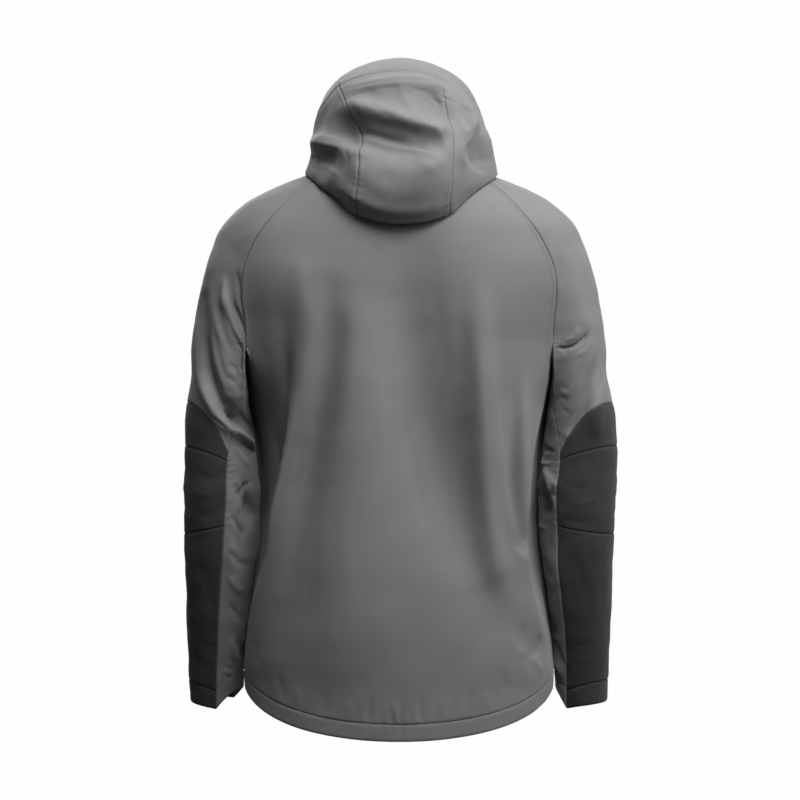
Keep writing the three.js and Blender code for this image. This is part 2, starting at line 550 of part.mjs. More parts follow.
// A wall of cloth over a grid of points on a surface. keep says which cells belong to the panel;
// its open edges are moved in by half the seam gap.
function clothPanel(name, finish, surface, columns, rows, options = {}) {
  const { keep = () => true, wall = CLOTH, turn = 1, top = () => 2 } = options;
  const wide = columns.length;
  const index = (i, j) => i * wide + j;
  const outer = [];
  const normals = [];
  for (const level of rows)
    for (const column of columns) {
      outer.push(surface(column, level));
      normals.push(outward(surface, column, level, top(column), turn));
    }
  const used = new Map();
  const cells = [];
  for (let i = 0; i < rows.length - 1; i++)
    for (let j = 0; j < wide - 1; j++) {
      if (!keep((columns[j] + columns[j + 1]) / 2, (rows[i] + rows[i + 1]) / 2)) continue;
      const loop = [index(i, j), index(i, j + 1), index(i + 1, j + 1), index(i + 1, j)];
      cells.push(loop);
      loop.forEach((a, k) => used.set(`${a},${loop[(k + 1) % 4]}`, loop));
    }
  const open = [...used.keys()].filter((key) => !used.has(key.split(",").reverse().join(",")));
  const pull = new Map();
  for (const key of open) {
    const [a, b] = key.split(",").map(Number);
    const middle = used.get(key).reduce((sum, v) => sum.add(outer[v]), new THREE.Vector3());
    const edge = outer[b].clone().sub(outer[a]).normalize();
    const inward = middle.divideScalar(4).sub(outer[a]);
    inward.addScaledVector(edge, -inward.dot(edge)).normalize();
    for (const v of [a, b]) {
      const seamFace = edge.clone().cross(normals[v]).normalize();
      const slant = Math.max(Math.abs(inward.dot(seamFace)), 0.25);
      pull.set(v, [...(pull.get(v) || []), inward.clone().divideScalar(slant)]);
    }
  }
  for (const [v, ways] of pull) {
    const shift = ways.reduce((sum, way) => sum.add(way), new THREE.Vector3());
    const [first, second = first.clone().negate()] = ways.map((way) => way.clone().normalize());
    const overlap = ways.length > 1 ? 1 + clamp(first.dot(second), -0.85, 1) : 1;
    outer[v].addScaledVector(shift, SEAM_GAP / 2 / overlap);
  }
  const count = outer.length;
  const position = [...outer, ...outer.map((p, v) => p.clone().addScaledVector(normals[v], -wall))];
  const faces = [];
  for (const [a, b, c, d] of cells) {
    faces.push([a, b, c], [a, c, d]);
    faces.push([a + count, c + count, b + count], [a + count, d + count, c + count]);
  }
  for (const key of open) {
    // both panels of a seam split its face along the same diagonal
    const [a, b] = key.split(",").map(Number);
    if (outer[a].z + outer[a].x > outer[b].z + outer[b].x)
      faces.push([b, a, a + count], [b, a + count, b + count]);
    else faces.push([b, a, b + count], [a, a + count, b + count]);
  }
  return namedMesh(name, finish, position, faces);
}

// A mesh from points and triangles, turned so that its faces point out.
function namedMesh(name, finish, position, faces) {
  const volume = faces.reduce((sum, [a, b, c]) => {
    const cross = position[b].clone().cross(position[c]);
    return sum + position[a].dot(cross);
  }, 0);
  const order = volume < 0 ? [0, 2, 1] : [0, 1, 2];
  const flat = faces.flatMap((face) => order.flatMap((k) => position[face[k]].toArray()));
  const geometry = new THREE.BufferGeometry();
  geometry.setAttribute("position", new THREE.Float32BufferAttribute(flat, 3));
  const made = new THREE.Mesh(geometry, new THREE.MeshStandardMaterial(finish));
  made.name = name;
  return made;
}

const jacket = new THREE.Group();

// Body panels
const BODY_COLUMNS = 12;
const UNDERARM_COLUMNS = 3;
const BODY_ROWS = 15;
const YOKE_ROWS = 9;
const bodyRows = [...spread(0, 1, BODY_ROWS), ...spread(1, 2, YOKE_ROWS).slice(1)];
const bodyTop = (column) => (Math.abs(column) > 1 && Math.abs(column) < 2 ? 1 : 2);
const inBody = (column, level) => level < 1 || Math.abs(column) < 1 || Math.abs(column) > 2;

// A surface that runs over the back's middle: columns above 0 on the left, below 0 on the right.
function bothSides(make) {
  const [left, right] = [make(1), make(-1)];
  return (column, level) => (column >= 0 ? left(column, level) : right(-column, level));
}
const wholeBody = bothSides(bodySurface);

const halfBack = [
  ...spread(0, 1, BODY_COLUMNS),
  ...spread(1, 1.5, UNDERARM_COLUMNS).slice(1),
];
const mirrorColumns = (columns) => [...columns.slice(1).reverse().map((c) => -c), ...columns];

jacket.add(
  clothPanel("back_panel", CLOTH_GREY, wholeBody, mirrorColumns(halfBack), bodyRows, {
    keep: inBody,
    top: bodyTop,
  }),
);

// The last column stops beside the zip, at the same distance from the middle at every height.
function besideZip(surface) {
  return (column, level) => {
    const p = surface(column, level);
    const share = clamp(Math.abs(column) - 2, 0, 1);
    const edge = surface(Math.sign(column) * (3 - STEP), level);
    p.x = mix(p.x, p.x + Math.sign(edge.x || 1) * ZIP_HALF, share ** 2);
    return p;
  };
}
const frontSurface = besideZip(wholeBody);
const FRONT_COLUMNS = 9;
const halfFront = [
  ...spread(1.5, 2, UNDERARM_COLUMNS),
  ...spread(2, 3, FRONT_COLUMNS).slice(1),
];
for (const [name, side] of [["front_left", 1], ["front_right", -1]])
  jacket.add(
    clothPanel(name, CLOTH_GREY, frontSurface, halfFront.map((c) => side * c), bodyRows, {
      keep: inBody,
      top: bodyTop,
    }),
  );

// Hem band, open at the zip
const HEM_COLUMNS = [
  ...spread(0, 1, BODY_COLUMNS),
  ...spread(1, 2, 2 * UNDERARM_COLUMNS).slice(1),
  ...spread(2, 3, FRONT_COLUMNS).slice(1),
];
jacket.add(
  clothPanel("hem_band", CLOTH_GREY, frontSurface, mirrorColumns(HEM_COLUMNS), [-1, 0], {
    wall: HEM_WALL,
  }),
);

// Sleeves
const OUTER_COLUMNS = 10;
const INNER_COLUMNS = 6;
const levelOf = (step) => (step <= LEVELS_BELOW ? step / LEVELS_BELOW : step - LEVELS_BELOW + 1);
function sleeveRows(from, to) {
  const steps = [levelOf(from)];
  for (let step = from; step < to; step++)
    steps.push(...spread(levelOf(step), levelOf(step + 1), SLEEVE_LEVELS[step].rows).slice(1));
  return steps;
}
const SLEEVE_PIECES = [
  { name: "sleeve_top", finish: CLOTH_GREY, from: 4, to: 6, columns: spread(0, 1, OUTER_COLUMNS) },
  { name: "sleeve_under", finish: CLOTH_GREY, from: 0, to: 5, columns: spread(1, 2, INNER_COLUMNS) },
  { name: "arm_panel", finish: CLOTH_DARK, from: 3, to: 4, columns: spread(0, 1, OUTER_COLUMNS) },
  { name: "elbow_patch", finish: CLOTH_DARK, from: 2, to: 3, columns: spread(0, 1, OUTER_COLUMNS) },
  { name: "forearm_panel", finish: CLOTH_DARK, from: 1, to: 2, columns: spread(0, 1, OUTER_COLUMNS) },
  { name: "cuff", finish: CLOTH_DARK, from: 0, to: 1, columns: spread(0, 1, OUTER_COLUMNS) },
];
for (const [sideName, side] of [["left", 1], ["right", -1]]) {
  const surface = sleeveSurface(side);
  for (const piece of SLEEVE_PIECES) {
    const rows = sleeveRows(piece.from, piece.to);
    const name = `${piece.name}_${sideName}`;
    const top = (column) => (column > 1 && column < 2 ? 1 : 2);
    jacket.add(clothPanel(name, piece.finish, surface, piece.columns, rows, { turn: side, top }));
  }
}

// Collar
const collar = bothSides(collarSurface);
const COLLAR_COLUMNS = 14;
const zipAngle = Math.asin(FRONT_EDGE / YOKE[YOKE.length - 1].half) / Math.PI;
const collarColumns = mirrorColumns(spread(0, 1 - zipAngle, COLLAR_COLUMNS));
jacket.add(
  clothPanel("collar", CLOTH_GREY, collar, collarColumns, spread(0, 1, 3), {
    top: () => 1,
    wall: HEM_WALL,
  }),
);

// Hood
const SIDE_COLUMNS = 9;
const MIDDLE_COLUMNS = 7;
const hoodRows = [...spread(-HOOD_TUCK, 0, 3), ...spread(0, BRIM_FAN, 13).slice(1)];
const brimRows = spread(BRIM_FAN, 1, 3);
const sideColumns = spread(0, 1, SIDE_COLUMNS);
const middleColumns = spread(1, 2, MIDDLE_COLUMNS);
const farColumns = spread(2, 3, SIDE_COLUMNS);
const brimColumns = [...sideColumns, ...middleColumns.slice(1), ...farColumns.slice(1)];
const HOOD_PIECES = [
  { name: "hood_side_left", columns: sideColumns, rows: hoodRows },
  { name: "hood_middle", columns: middleColumns, rows: hoodRows },
  { name: "hood_side_right", columns: farColumns, rows: hoodRows },
  { name: "hood_brim", columns: brimColumns, rows: brimRows },
];
for (const piece of HOOD_PIECES)
  jacket.add(
    clothPanel(piece.name, CLOTH_GREY, hoodSurface, piece.columns, piece.rows, {
      turn: -1,
      top: () => 1,
    }),
  );

// Zip: the closed chain from the hem to the collar's top, in the middle of the front.
const CHAIN_WALL = 2;
const CHAIN_SET_BACK = 0.2;
function frontLine() {
  const body = bodyRows.map((level) => frontSurface(3 - STEP, level));
  const below = frontSurface(3 - STEP, -1);
  const above = spread(0, 1, 3).map((level) => collar(1 - zipAngle, level));
  return [below, ...body, ...above.slice(1)].map((p) => [p.y, p.z]);
}
function zipChain() {
  const line = frontLine();
  const position = [];
  const section = [[-ZIP_HALF, 0], [ZIP_HALF, 0], [ZIP_HALF, CHAIN_WALL], [-ZIP_HALF, CHAIN_WALL]];
  for (const [y, z] of line)
    for (const [x, depth] of section)
      position.push(new THREE.Vector3(x, y + CHAIN_SET_BACK + depth, z));
  const faces = [];
  const last = (line.length - 1) * 4;
  for (let ring = 0; ring < last; ring += 4)
    for (let k = 0; k < 4; k++) {
      const [a, b] = [ring + k, ring + ((k + 1) % 4)];
      faces.push([a, b, b + 4], [a, b + 4, a + 4]);
    }
  faces.push([0, 2, 1], [0, 3, 2], [last, last + 1, last + 2], [last, last + 2, last + 3]);
  return namedMesh("zip_chain", ZIP_DARK, position, faces);
}
jacket.add(zipChain());

// Slider: a flat shield with a bridge, which the pull tab's upper bar hangs under.
const wasm = await Module();
wasm.setup();

const SLIDER = { wide: 9, tall: 12, thick: 2.2, top: 3 }; // top: distance under the collar's edge
const BRIDGE = { wide: 2.4, tall: 9, out: 3.8, bar: 1.1 };
const TAB = { wide: 7, long: 30, thick: 1.2, bar: 1.2, window: 6.2, arm: 1.3 };
const PIVOT_OUT = 1.35; // from the shield's face to the pull tab's upper bar

function solidOf(geometry) {
  const plain = geometry.clone();
  plain.deleteAttribute("normal");
  plain.deleteAttribute("uv");
  const merged = mergeVertices(plain, 1e-4);
  const index = merged.index ? merged.index.array : merged.getAttribute("position").array.map((_, i) => i);
  return new wasm.Manifold(
    new wasm.Mesh({
      numProp: 3,
      vertProperties: new Float32Array(merged.getAttribute("position").array),
      triVerts: new Uint32Array(index),
    }),
  );
}

function meshOf(name, finish, solid) {
  const { vertProperties, triVerts } = solid.getMesh();
  const geometry = new THREE.BufferGeometry();
  geometry.setAttribute("position", new THREE.BufferAttribute(new Float32Array(vertProperties), 3));
  geometry.setIndex([...triVerts]);
  const made = new THREE.Mesh(geometry, new THREE.MeshStandardMaterial(finish));
  made.name = name;
  return made;
}

// An outline in x and z, given its depth along y from its front face backwards.
function plateGeometry(shape, thick, frontY) {
  const settings = { depth: thick, bevelEnabled: false, curveSegments: 5 };
  const geometry = new THREE.ExtrudeGeometry(shape, settings);
  geometry.rotateX(Math.PI / 2); // the outline's y becomes z, and its depth runs towards -y
  geometry.translate(0, frontY + thick, 0);
  return geometry;
}

function rectangle(x0, z0, x1, z1) {
  return new THREE.Shape([
    new THREE.Vector2(x0, z0),
    new THREE.Vector2(x1, z0),
    new THREE.Vector2(x1, z1),
    new THREE.Vector2(x0, z1),
  ]);
}

const collarTop = collar(1 - zipAngle, 1);
const pivotZ = collarTop.z - SLIDER.top - SLIDER.tall / 2;
const chainFaceY = Math.min(...spread(0, 1, 3).map((level) => collar(1 - zipAngle, level).y));
const shieldBackY = chainFaceY - SEAM_GAP;
const shieldFaceY = shieldBackY - SLIDER.thick;

function sliderSolid() {
  const [w, t] = [SLIDER.wide / 2, SLIDER.tall / 2];
  const shield = new THREE.Shape();
  shield.moveTo(-w * 0.7, -t);
  shield.lineTo(w * 0.7, -t);
  shield.quadraticCurveTo(w, -t * 0.6, w, 0);
  shield.quadraticCurveTo(w, t * 0.8, w * 0.3, t);
  shield.lineTo(-w * 0.3, t);
  shield.quadraticCurveTo(-w, t * 0.8, -w, 0);
  shield.quadraticCurveTo(-w, -t * 0.6, -w * 0.7, -t);
  const plate = plateGeometry(shield, SLIDER.thick, shieldFaceY);
  const sunk = 0.3;
  const arch = rectangle(-sunk, -BRIDGE.tall / 2, BRIDGE.out, BRIDGE.tall / 2);
  arch.holes.push(
    rectangle(0, -BRIDGE.tall / 2 + BRIDGE.bar, BRIDGE.out - BRIDGE.bar, BRIDGE.tall / 2 - BRIDGE.bar),
  );
  const bridge = new THREE.ExtrudeGeometry(arch, { depth: BRIDGE.wide, bevelEnabled: false });
  bridge.applyMatrix4(
    new THREE.Matrix4().set(
      0, 0, 1, -BRIDGE.wide / 2,
      -1, 0, 0, shieldFaceY,
      0, 1, 0, 0,
      0, 0, 0, 1,
    ),
  );
  const solid = solidOf(plate).add(solidOf(flipIfInsideOut(bridge)));
  return solid.translate([0, 0, pivotZ]);
}

// A geometry whose faces point in is turned round.
function flipIfInsideOut(geometry) {
  const flat = geometry.index ? geometry.toNonIndexed() : geometry.clone();
  const p = flat.getAttribute("position");
  const [a, b, c] = [new THREE.Vector3(), new THREE.Vector3(), new THREE.Vector3()];
  let volume = 0;
  for (let i = 0; i < p.count; i += 3) {
    a.fromBufferAttribute(p, i);
    b.fromBufferAttribute(p, i + 1);
    c.fromBufferAttribute(p, i + 2);
    volume += a.dot(b.cross(c));
  }
  if (volume < 0)
    for (let i = 0; i < p.count; i += 3) {
      b.fromBufferAttribute(p, i + 1);
      c.fromBufferAttribute(p, i + 2);
      p.setXYZ(i + 1, c.x, c.y, c.z);
      p.setXYZ(i + 2, b.x, b.y, b.z);
    }
  return flat;
}
jacket.add(meshOf("zip_slider", ZIP_METAL, sliderSolid()));

// Pull tab: a flat bar with a window at its top, so that its upper edge turns under the bridge.
const pivotY = shieldFaceY - PIVOT_OUT;
function pullTab() {
  const [w, r] = [TAB.wide / 2, TAB.bar / 2];
  const outline = new THREE.Shape();
  outline.moveTo(-w, r);
  outline.lineTo(w, r);
  outline.lineTo(w, -TAB.long + w);
  outline.quadraticCurveTo(w, -TAB.long, 0, -TAB.long);
  outline.quadraticCurveTo(-w, -TAB.long, -w, -TAB.long + w);
  const hole = rectangle(-w + TAB.arm, -TAB.window, w - TAB.arm, -r);
  outline.holes.push(hole);
  const geometry = plateGeometry(outline, TAB.thick, pivotY - TAB.thick / 2);
  const solid = solidOf(geometry).translate([0, 0, pivotZ]);
  return meshOf("pull_tab", ZIP_METAL, solid);
}
jacket.add(pullTab());

// Box and pin at the zip's foot, a little block on the chain's end
const BOX = { wide: 11, tall: 12, thick: 3.4 };
function zipBox() {
  const foot = frontSurface(3 - STEP, -1);
  const outline = rectangle(-BOX.wide / 2, 0, BOX.wide / 2, BOX.tall);
  const geometry = plateGeometry(outline, BOX.thick, foot.y - SEAM_GAP - BOX.thick);
  return meshOf("zip_box", ZIP_DARK, solidOf(geometry).translate([0, 0, foot.z + 1]));
}
jacket.add(zipBox());

export default jacket;
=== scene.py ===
# %% [markdown]
# # A hooded softshell jacket
#
# Softshell is a knitted or woven polyester face glued to a thin fleece. It is soft but a little
# stiff, so it hangs in long smooth folds with few sharp creases. This lesson dresses the packed
# CAD model: every panel of cloth becomes a fine surface on its solid's own form, with the folds,
# seams and sewing that the solid is too coarse for. The numbers are millimetres until a mesh is
# made, and +Z is up, the front faces -Y and the wearer's left is +X, as in the CAD.

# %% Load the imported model
import json

import bmesh
import bpy
import numpy as np
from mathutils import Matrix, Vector

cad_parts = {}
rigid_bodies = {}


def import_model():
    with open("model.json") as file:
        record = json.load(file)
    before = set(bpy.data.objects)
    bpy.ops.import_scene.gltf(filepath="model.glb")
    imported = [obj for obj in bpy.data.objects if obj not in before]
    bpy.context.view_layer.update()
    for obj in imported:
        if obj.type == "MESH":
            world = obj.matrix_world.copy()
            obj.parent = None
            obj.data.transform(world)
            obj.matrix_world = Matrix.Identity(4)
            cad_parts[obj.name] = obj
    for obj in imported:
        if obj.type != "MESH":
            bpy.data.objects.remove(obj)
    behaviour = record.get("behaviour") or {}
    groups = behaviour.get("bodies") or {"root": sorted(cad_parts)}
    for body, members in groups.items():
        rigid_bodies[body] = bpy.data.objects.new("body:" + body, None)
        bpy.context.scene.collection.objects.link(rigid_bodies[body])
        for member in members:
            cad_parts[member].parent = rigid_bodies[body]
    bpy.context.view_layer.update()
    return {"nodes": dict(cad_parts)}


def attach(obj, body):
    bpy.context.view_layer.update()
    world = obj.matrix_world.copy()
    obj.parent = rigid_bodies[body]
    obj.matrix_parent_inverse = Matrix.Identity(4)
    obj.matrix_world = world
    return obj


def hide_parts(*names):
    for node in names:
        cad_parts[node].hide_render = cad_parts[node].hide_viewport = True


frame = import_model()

# %% [markdown]
# ## Tables and smooth curves
#
# A pattern maker writes a garment down as a few measurements at each height. The same is done
# here: a table with named columns, and a smooth curve through each column, so that the jacket can
# be asked for its width at any height. Lengths are in mm, and the columns named seam, seamLeft,
# seamRight, left and right are angles in degrees. The tables are those of the CAD source, so each
# panel of cloth lies where its solid is.

# %% Read a table and draw a smooth curve through it
DEG = np.pi / 180


def rows_of(text):
    """The rows of a table in text, as lists of numbers."""
    return [[float(value) for value in line.split()] for line in text.strip().splitlines()]


def named(text):
    """A table in text as one array for each column. Its first line names the columns."""
    head, rows = text.strip().split("\n", 1)
    return {name: np.array(values) for name, values in zip(head.split(), zip(*rows_of(rows)))}


def spread(column, level):
    """Both as arrays of numbers of one shape."""
    return np.broadcast_arrays(np.asarray(column, float), np.asarray(level, float))


def mix(a, b, share):
    """a where share is 0, b where it is 1, and evenly between."""
    return a + (b - a) * share


def lengths(p, axis=0):
    """The distance from each point to the next one along an axis."""
    return np.linalg.norm(np.diff(p, axis=axis), axis=-1)


def running(steps, axis=0):
    """The sum of the steps so far along an axis, which starts at 0."""
    return np.insert(np.cumsum(steps, axis=axis), 0, 0, axis=axis)


def ease(x):
    """A soft step from 0 to 1: 3 t^2 - 2 t^3, with t held between 0 and 1."""
    t = np.clip(x, 0, 1)
    return t * t * (3 - 2 * t)


def bell(distance, wide):
    """A bell curve: 1 at distance 0, and e to the minus (distance / wide) squared elsewhere."""
    return np.exp(-((distance / wide) ** 2))


def curve(table, by, column):
    """A curve through one column by another: a cubic between each two rows, whose slope at a row is that
    from the row before to the row after."""
    xs, ys = table[by], table[column]
    last = len(xs) - 1
    before, after = np.maximum(np.arange(last + 1) - 1, 0), np.minimum(np.arange(last + 1) + 1, last)
    slopes = (ys[after] - ys[before]) / (xs[after] - xs[before])

    def at(value):
        x = np.clip(value, xs[0], xs[-1])
        i = np.clip(np.searchsorted(xs, x) - 1, 0, last - 1)
        span, rise = xs[i + 1] - xs[i], ys[i + 1] - ys[i]
        t = (x - xs[i]) / span
        bend, unbend = slopes[i] * span - rise, rise - slopes[i + 1] * span
        return ys[i] + t * rise + t * (1 - t) * ((1 - t) * bend + t * unbend)

    return at


def curves(table, by):
    """All of a table's columns as curves."""
    return {name: curve(table, by, name) for name in table if name != by}


# %% [markdown]
# ## The body and the shoulders
#
# Under the arms the jacket is a tube, so a ring of it is an oval, a little squared, and pressed in
# at the side where the sleeve hangs against it. Above the armhole one ring runs round both
# shoulders and shrinks to the neck. The raglan seam is a line on those rings, from the armhole to
# the neck, and the cloth is drawn in along it.

# %% The rings of the body and the shoulders
torso = curves(named("""
z half back front square press pressY
-770 213 120 116 0.1 0 -30
-690 213 121 116 0.1 0 -30
-640 217 122 116 0.12 6 -10
-570 218 122 115 0.14 16 -4
-500 217 121 114 0.16 25 2
-430 215 120 114 0.17 26 2
-363 214 122 117 0.18 21 0
-290 209 126 121 0.19 9 6
-214 206 128 124 0.2 0 0
"""), "z")
YOKE = named("""
rise half sideZ back backZ front frontZ square seam valley
0 285.7 -214 128 -214 124 -214 0.19 40.8 0.25
0.15 281 -179 130 -180 125 -184 0.185 42.8 0.2
0.3 275 -146 130 -147 124 -156 0.18 45.3 0.13
0.44 267.5 -113 129 -115 121 -130 0.17 46.6 0.07
0.57 256.5 -80 126 -84 116 -107 0.15 45.7 0.03
0.68 243 -50 121 -58 110 -88 0.14 43.7 0.01
0.77 223 -28 114 -38 104 -73 0.13 43.2 0
0.85 197 -10 105 -20 97 -60 0.12 44.7 0
0.92 158 8 93 -4 89 -49 0.1 49 0
1 86 34 75 14 79 -38 0.05 52 0
""")
yoke = curves(YOKE, "rise")
NECK = {name: values[-1] for name, values in YOKE.items()}
ARMHOLE_FOOT, UNDERARM_DIP, UNDERARM_BOW, RESHAPE = -214, 18, 3, 100
HEM_TALL, ZIP_HALF, SEAM_GAP = 23, 3.6, 0.4
PRESS_REACH, CORNER, VALLEY_SPREAD = 46, 60 * DEG, 13 * DEG
HEM_SIDE, HEM_TAIL, HEM_FRONT, HEM_POWER = -681, -746, -691, 1.25


def oval(half, back, front, square, angle):
    """A squared oval, x and y. Angle 0 is the middle of the back, 90 degrees the side, 180 the front."""
    s, c = np.sin(angle), np.cos(angle)
    return half * s * (1 + square * c * c), np.where(c > 0, back, front) * c * (1 + square * s * s)


def yoke_ring(angle, rise):
    """A point of the ring round both shoulders: a squared oval, drawn in at its two seams, with a height
    that goes from that of its back or front to that of its side as the squared sine of the angle."""
    seam = yoke["seam"](rise) * DEG
    near = sum(bell(angle - edge, VALLEY_SPREAD) for edge in (seam, np.pi - seam))
    x, y = oval(*(yoke[name](rise) for name in ("half", "back", "front", "square")), angle)
    ends = np.where(np.cos(angle) > 0, yoke["backZ"](rise), yoke["frontZ"](rise))
    z = mix(ends, yoke["sideZ"](rise), np.sin(angle) ** 2)
    return np.stack([x, y * (1 - yoke["valley"](rise) * near), z], -1)


def thirds(column, first, second):
    """0 to first over columns 0 to 1, on to second by column 2, and on to 180 degrees by column 3."""
    upper = np.where(column < 2, mix(first, second, column - 1), mix(second, np.pi, column - 2))
    return np.where(column < 1, first * column, upper)


def yoke_angle(column, rise):
    """The angle of a column on the shoulders: 0 to 1 is the back, 1 to 2 the sleeve's top, 2 to 3 the
    front."""
    seam = yoke["seam"](rise) * DEG
    return thirds(column, seam, np.pi - seam)


# the armhole's two corners, at the back and at the front
CORNER_BACK, CORNER_FRONT = (yoke_ring(yoke_angle(column, 0.0), 0.0) for column in (1.0, 2.0))


def hem_low(angle):
    """Height of the hem's edge: from the side's to the tail's or the front's, as a power of the cosine."""
    end = np.where(np.cos(angle) > 0, HEM_TAIL, HEM_FRONT)
    return mix(HEM_SIDE, end, np.abs(np.cos(angle)) ** HEM_POWER)


def body_plain(column, level):
    """The body without folds. Column 0 is the back's middle, 1 and 2 the armhole's corners, 3 the front's
    middle. Level 0 is the hem's seam, 1 the armhole's foot, 2 the neckline, and below 0 the hem band."""
    column, level = spread(column, level)
    rise = np.clip(level - 1, 0, 1)
    above = yoke_ring(yoke_angle(column, rise), rise)
    inside = (column > 1) & (column < 2)
    under = np.where(inside, np.sin(np.pi * (column - 1)), 0)
    angle = thirds(column, CORNER, np.pi - CORNER)
    foot = ARMHOLE_FOOT - UNDERARM_DIP * under
    seam = hem_low(angle) + HEM_TALL
    z = np.where(level < 0, seam + level * HEM_TALL, mix(seam, foot, level))
    straight = mix(CORNER_BACK, CORNER_FRONT, (column - 1)[..., None])
    straight = straight + under[..., None] * [UNDERARM_BOW, 0, 0]
    split = np.where(inside[..., None], straight, yoke_ring(yoke_angle(column, 0.0), 0.0))
    x, y = oval(*(torso[name](z) for name in ("half", "back", "front", "square")), angle)
    x = x - torso["press"](z) * bell(y - torso["pressY"](z), PRESS_REACH) * np.sin(angle)
    share = ease((foot - z) / RESHAPE)
    below = np.stack([mix(split[..., 0], x, share), mix(split[..., 1], y, share), z], -1)
    return np.where((level > 1)[..., None], above, below)


print("hem band is", HEM_TALL, "mm tall; the armhole's foot is at", ARMHOLE_FOOT)

# %% [markdown]
# ## The sleeves
#
# A sleeve is a tube from the cuff to the armhole. Its outer part, which reaches round 218 degrees,
# goes on over the shoulder to the neck as the raglan top, and its inner part ends at the armhole.
# The seams across it are higher on one side than on the other, so a row of the grid is a wavy ring.

# %% The rings of a sleeve
arm = curves(named("""
z midX midY wide deep bulgeRight seamLeft seamRight
-720 254 -38 36 45 0 93 127
-690 254 -34 37 46 0 93 127
-640 253 -26 40 49 0 94 124
-570 250 -12 45 53 -1 95 122
-500 246 0 50 57 -1 96 123
-430 244 6 52 61 2 99 124
-363 246 4 49 66 6 106 126
-290 249 0 43 74 4 129 144
-214 246 0 40 82 0 140 150
"""), "z")
LEVELS = named("""
step back outer front inner
0 -716 -708 -709 -690
1 -691 -677 -681 -664
2 -461 -473 -461 -454
3 -373 -352 -370 -366
4 -361 -293 -358 -340
5 -214 -214 -214 -232
""")
TOP_SLEEVE_SPAN, SLEEVE_SQUARE, SLEEVE_CLEAR, HEIGHT_POWER = 218 * DEG, 0.08, 0.3, 2.3


def level_of(step):
    """A seam's place in LEVELS as a level: 0 to 1 up to the armhole's foot, and 2 at the neckline."""
    return step / 5 if step <= 5 else step - 4


def sleeve_height(column, level):
    """Height of a row: between the seams across the sleeve it is shared out evenly, and round the sleeve it
    goes from the outer or inner height to that of the nearer seam, as a power of the way there."""
    step = level * 5
    i = np.clip(np.floor(step), 0, 4).astype(int)
    exact = {name: mix(LEVELS[name][i], LEVELS[name][i + 1], step - i) for name in LEVELS}
    outer = column <= 1
    off = np.abs(2 * np.where(outer, column, column - 1) - 1)
    to_back = np.where(outer, column < 0.5, column > 1.5)
    middle = np.where(outer, exact["outer"], exact["inner"])
    return mix(middle, np.where(to_back, exact["back"], exact["front"]), off**HEIGHT_POWER)


def sleeve_plain(side, column, level):
    """The sleeve without folds, for side 1 the wearer's left and -1 the right, both on +X. Column 0 is the
    back seam, 0.5 the outer side, 1 the front seam, 1.5 the inner side. Level 0 is the cuff's end, 1 the
    armhole's foot, 2 the neckline."""
    column, level = spread(column, level)
    rise = np.clip(level - 1, 0, 1)
    above = yoke_ring(yoke_angle(1 + column, rise), rise)
    turn = np.mod(column, 2)
    z = sleeve_height(turn, level)
    seam = arm["seamLeft" if side > 0 else "seamRight"](z) * DEG
    far = seam - TOP_SLEEVE_SPAN
    angle = np.where(turn <= 1, mix(seam, far, turn), mix(far, seam - 2 * np.pi, turn - 1))
    bulge = arm["bulgeRight"](z) / 2 if side < 0 else 0
    wide = arm["wide"](z) + bulge
    across, out = oval(arm["deep"](z), wide, wide, SLEEVE_SQUARE, angle)
    inner = np.sin(np.pi * (turn - 1))
    straight = mix(CORNER_FRONT, CORNER_BACK, (turn - 1)[..., None])
    straight[..., 0] += UNDERARM_BOW * inner + SEAM_GAP + SLEEVE_CLEAR
    split = np.where((turn <= 1)[..., None], yoke_ring(yoke_angle(1 + turn, 0.0), 0.0), straight)
    share = ease((ARMHOLE_FOOT - z) / RESHAPE)
    x = mix(split[..., 0], arm["midX"](z) + bulge + out, share)
    y = mix(split[..., 1], arm["midY"](z) + across, share)
    return np.where((level > 1)[..., None], above, np.stack([x, y, z], -1))


print("seams across the sleeve, at its outer side:", LEVELS["outer"])

# %% [markdown]
# ## Large folds
#
# A fold is a soft ridge or trough that runs through three points of the back or the front, with a
# height at each. It falls off to both sides as a bell curve. Down each side of the back the cloth
# also drops away towards the sleeve, which leaves the two long lit edges of the photo. The cloth
# moves by all of that along its own normal, which is worked out from small steps on the surface.
# A sculpting brush could do the same by eye; a table keeps each fold's place and size in
# millimetres. These folds are in the solids too.

# %% The largest folds
FOLD_STEPS, FOLD_TAIL, SIDE_FADE, CORNER_X, CALM, SEAM_CALM, HOOD_CALM = 8, 1.6, 45, 208, 60, 9, 0.15
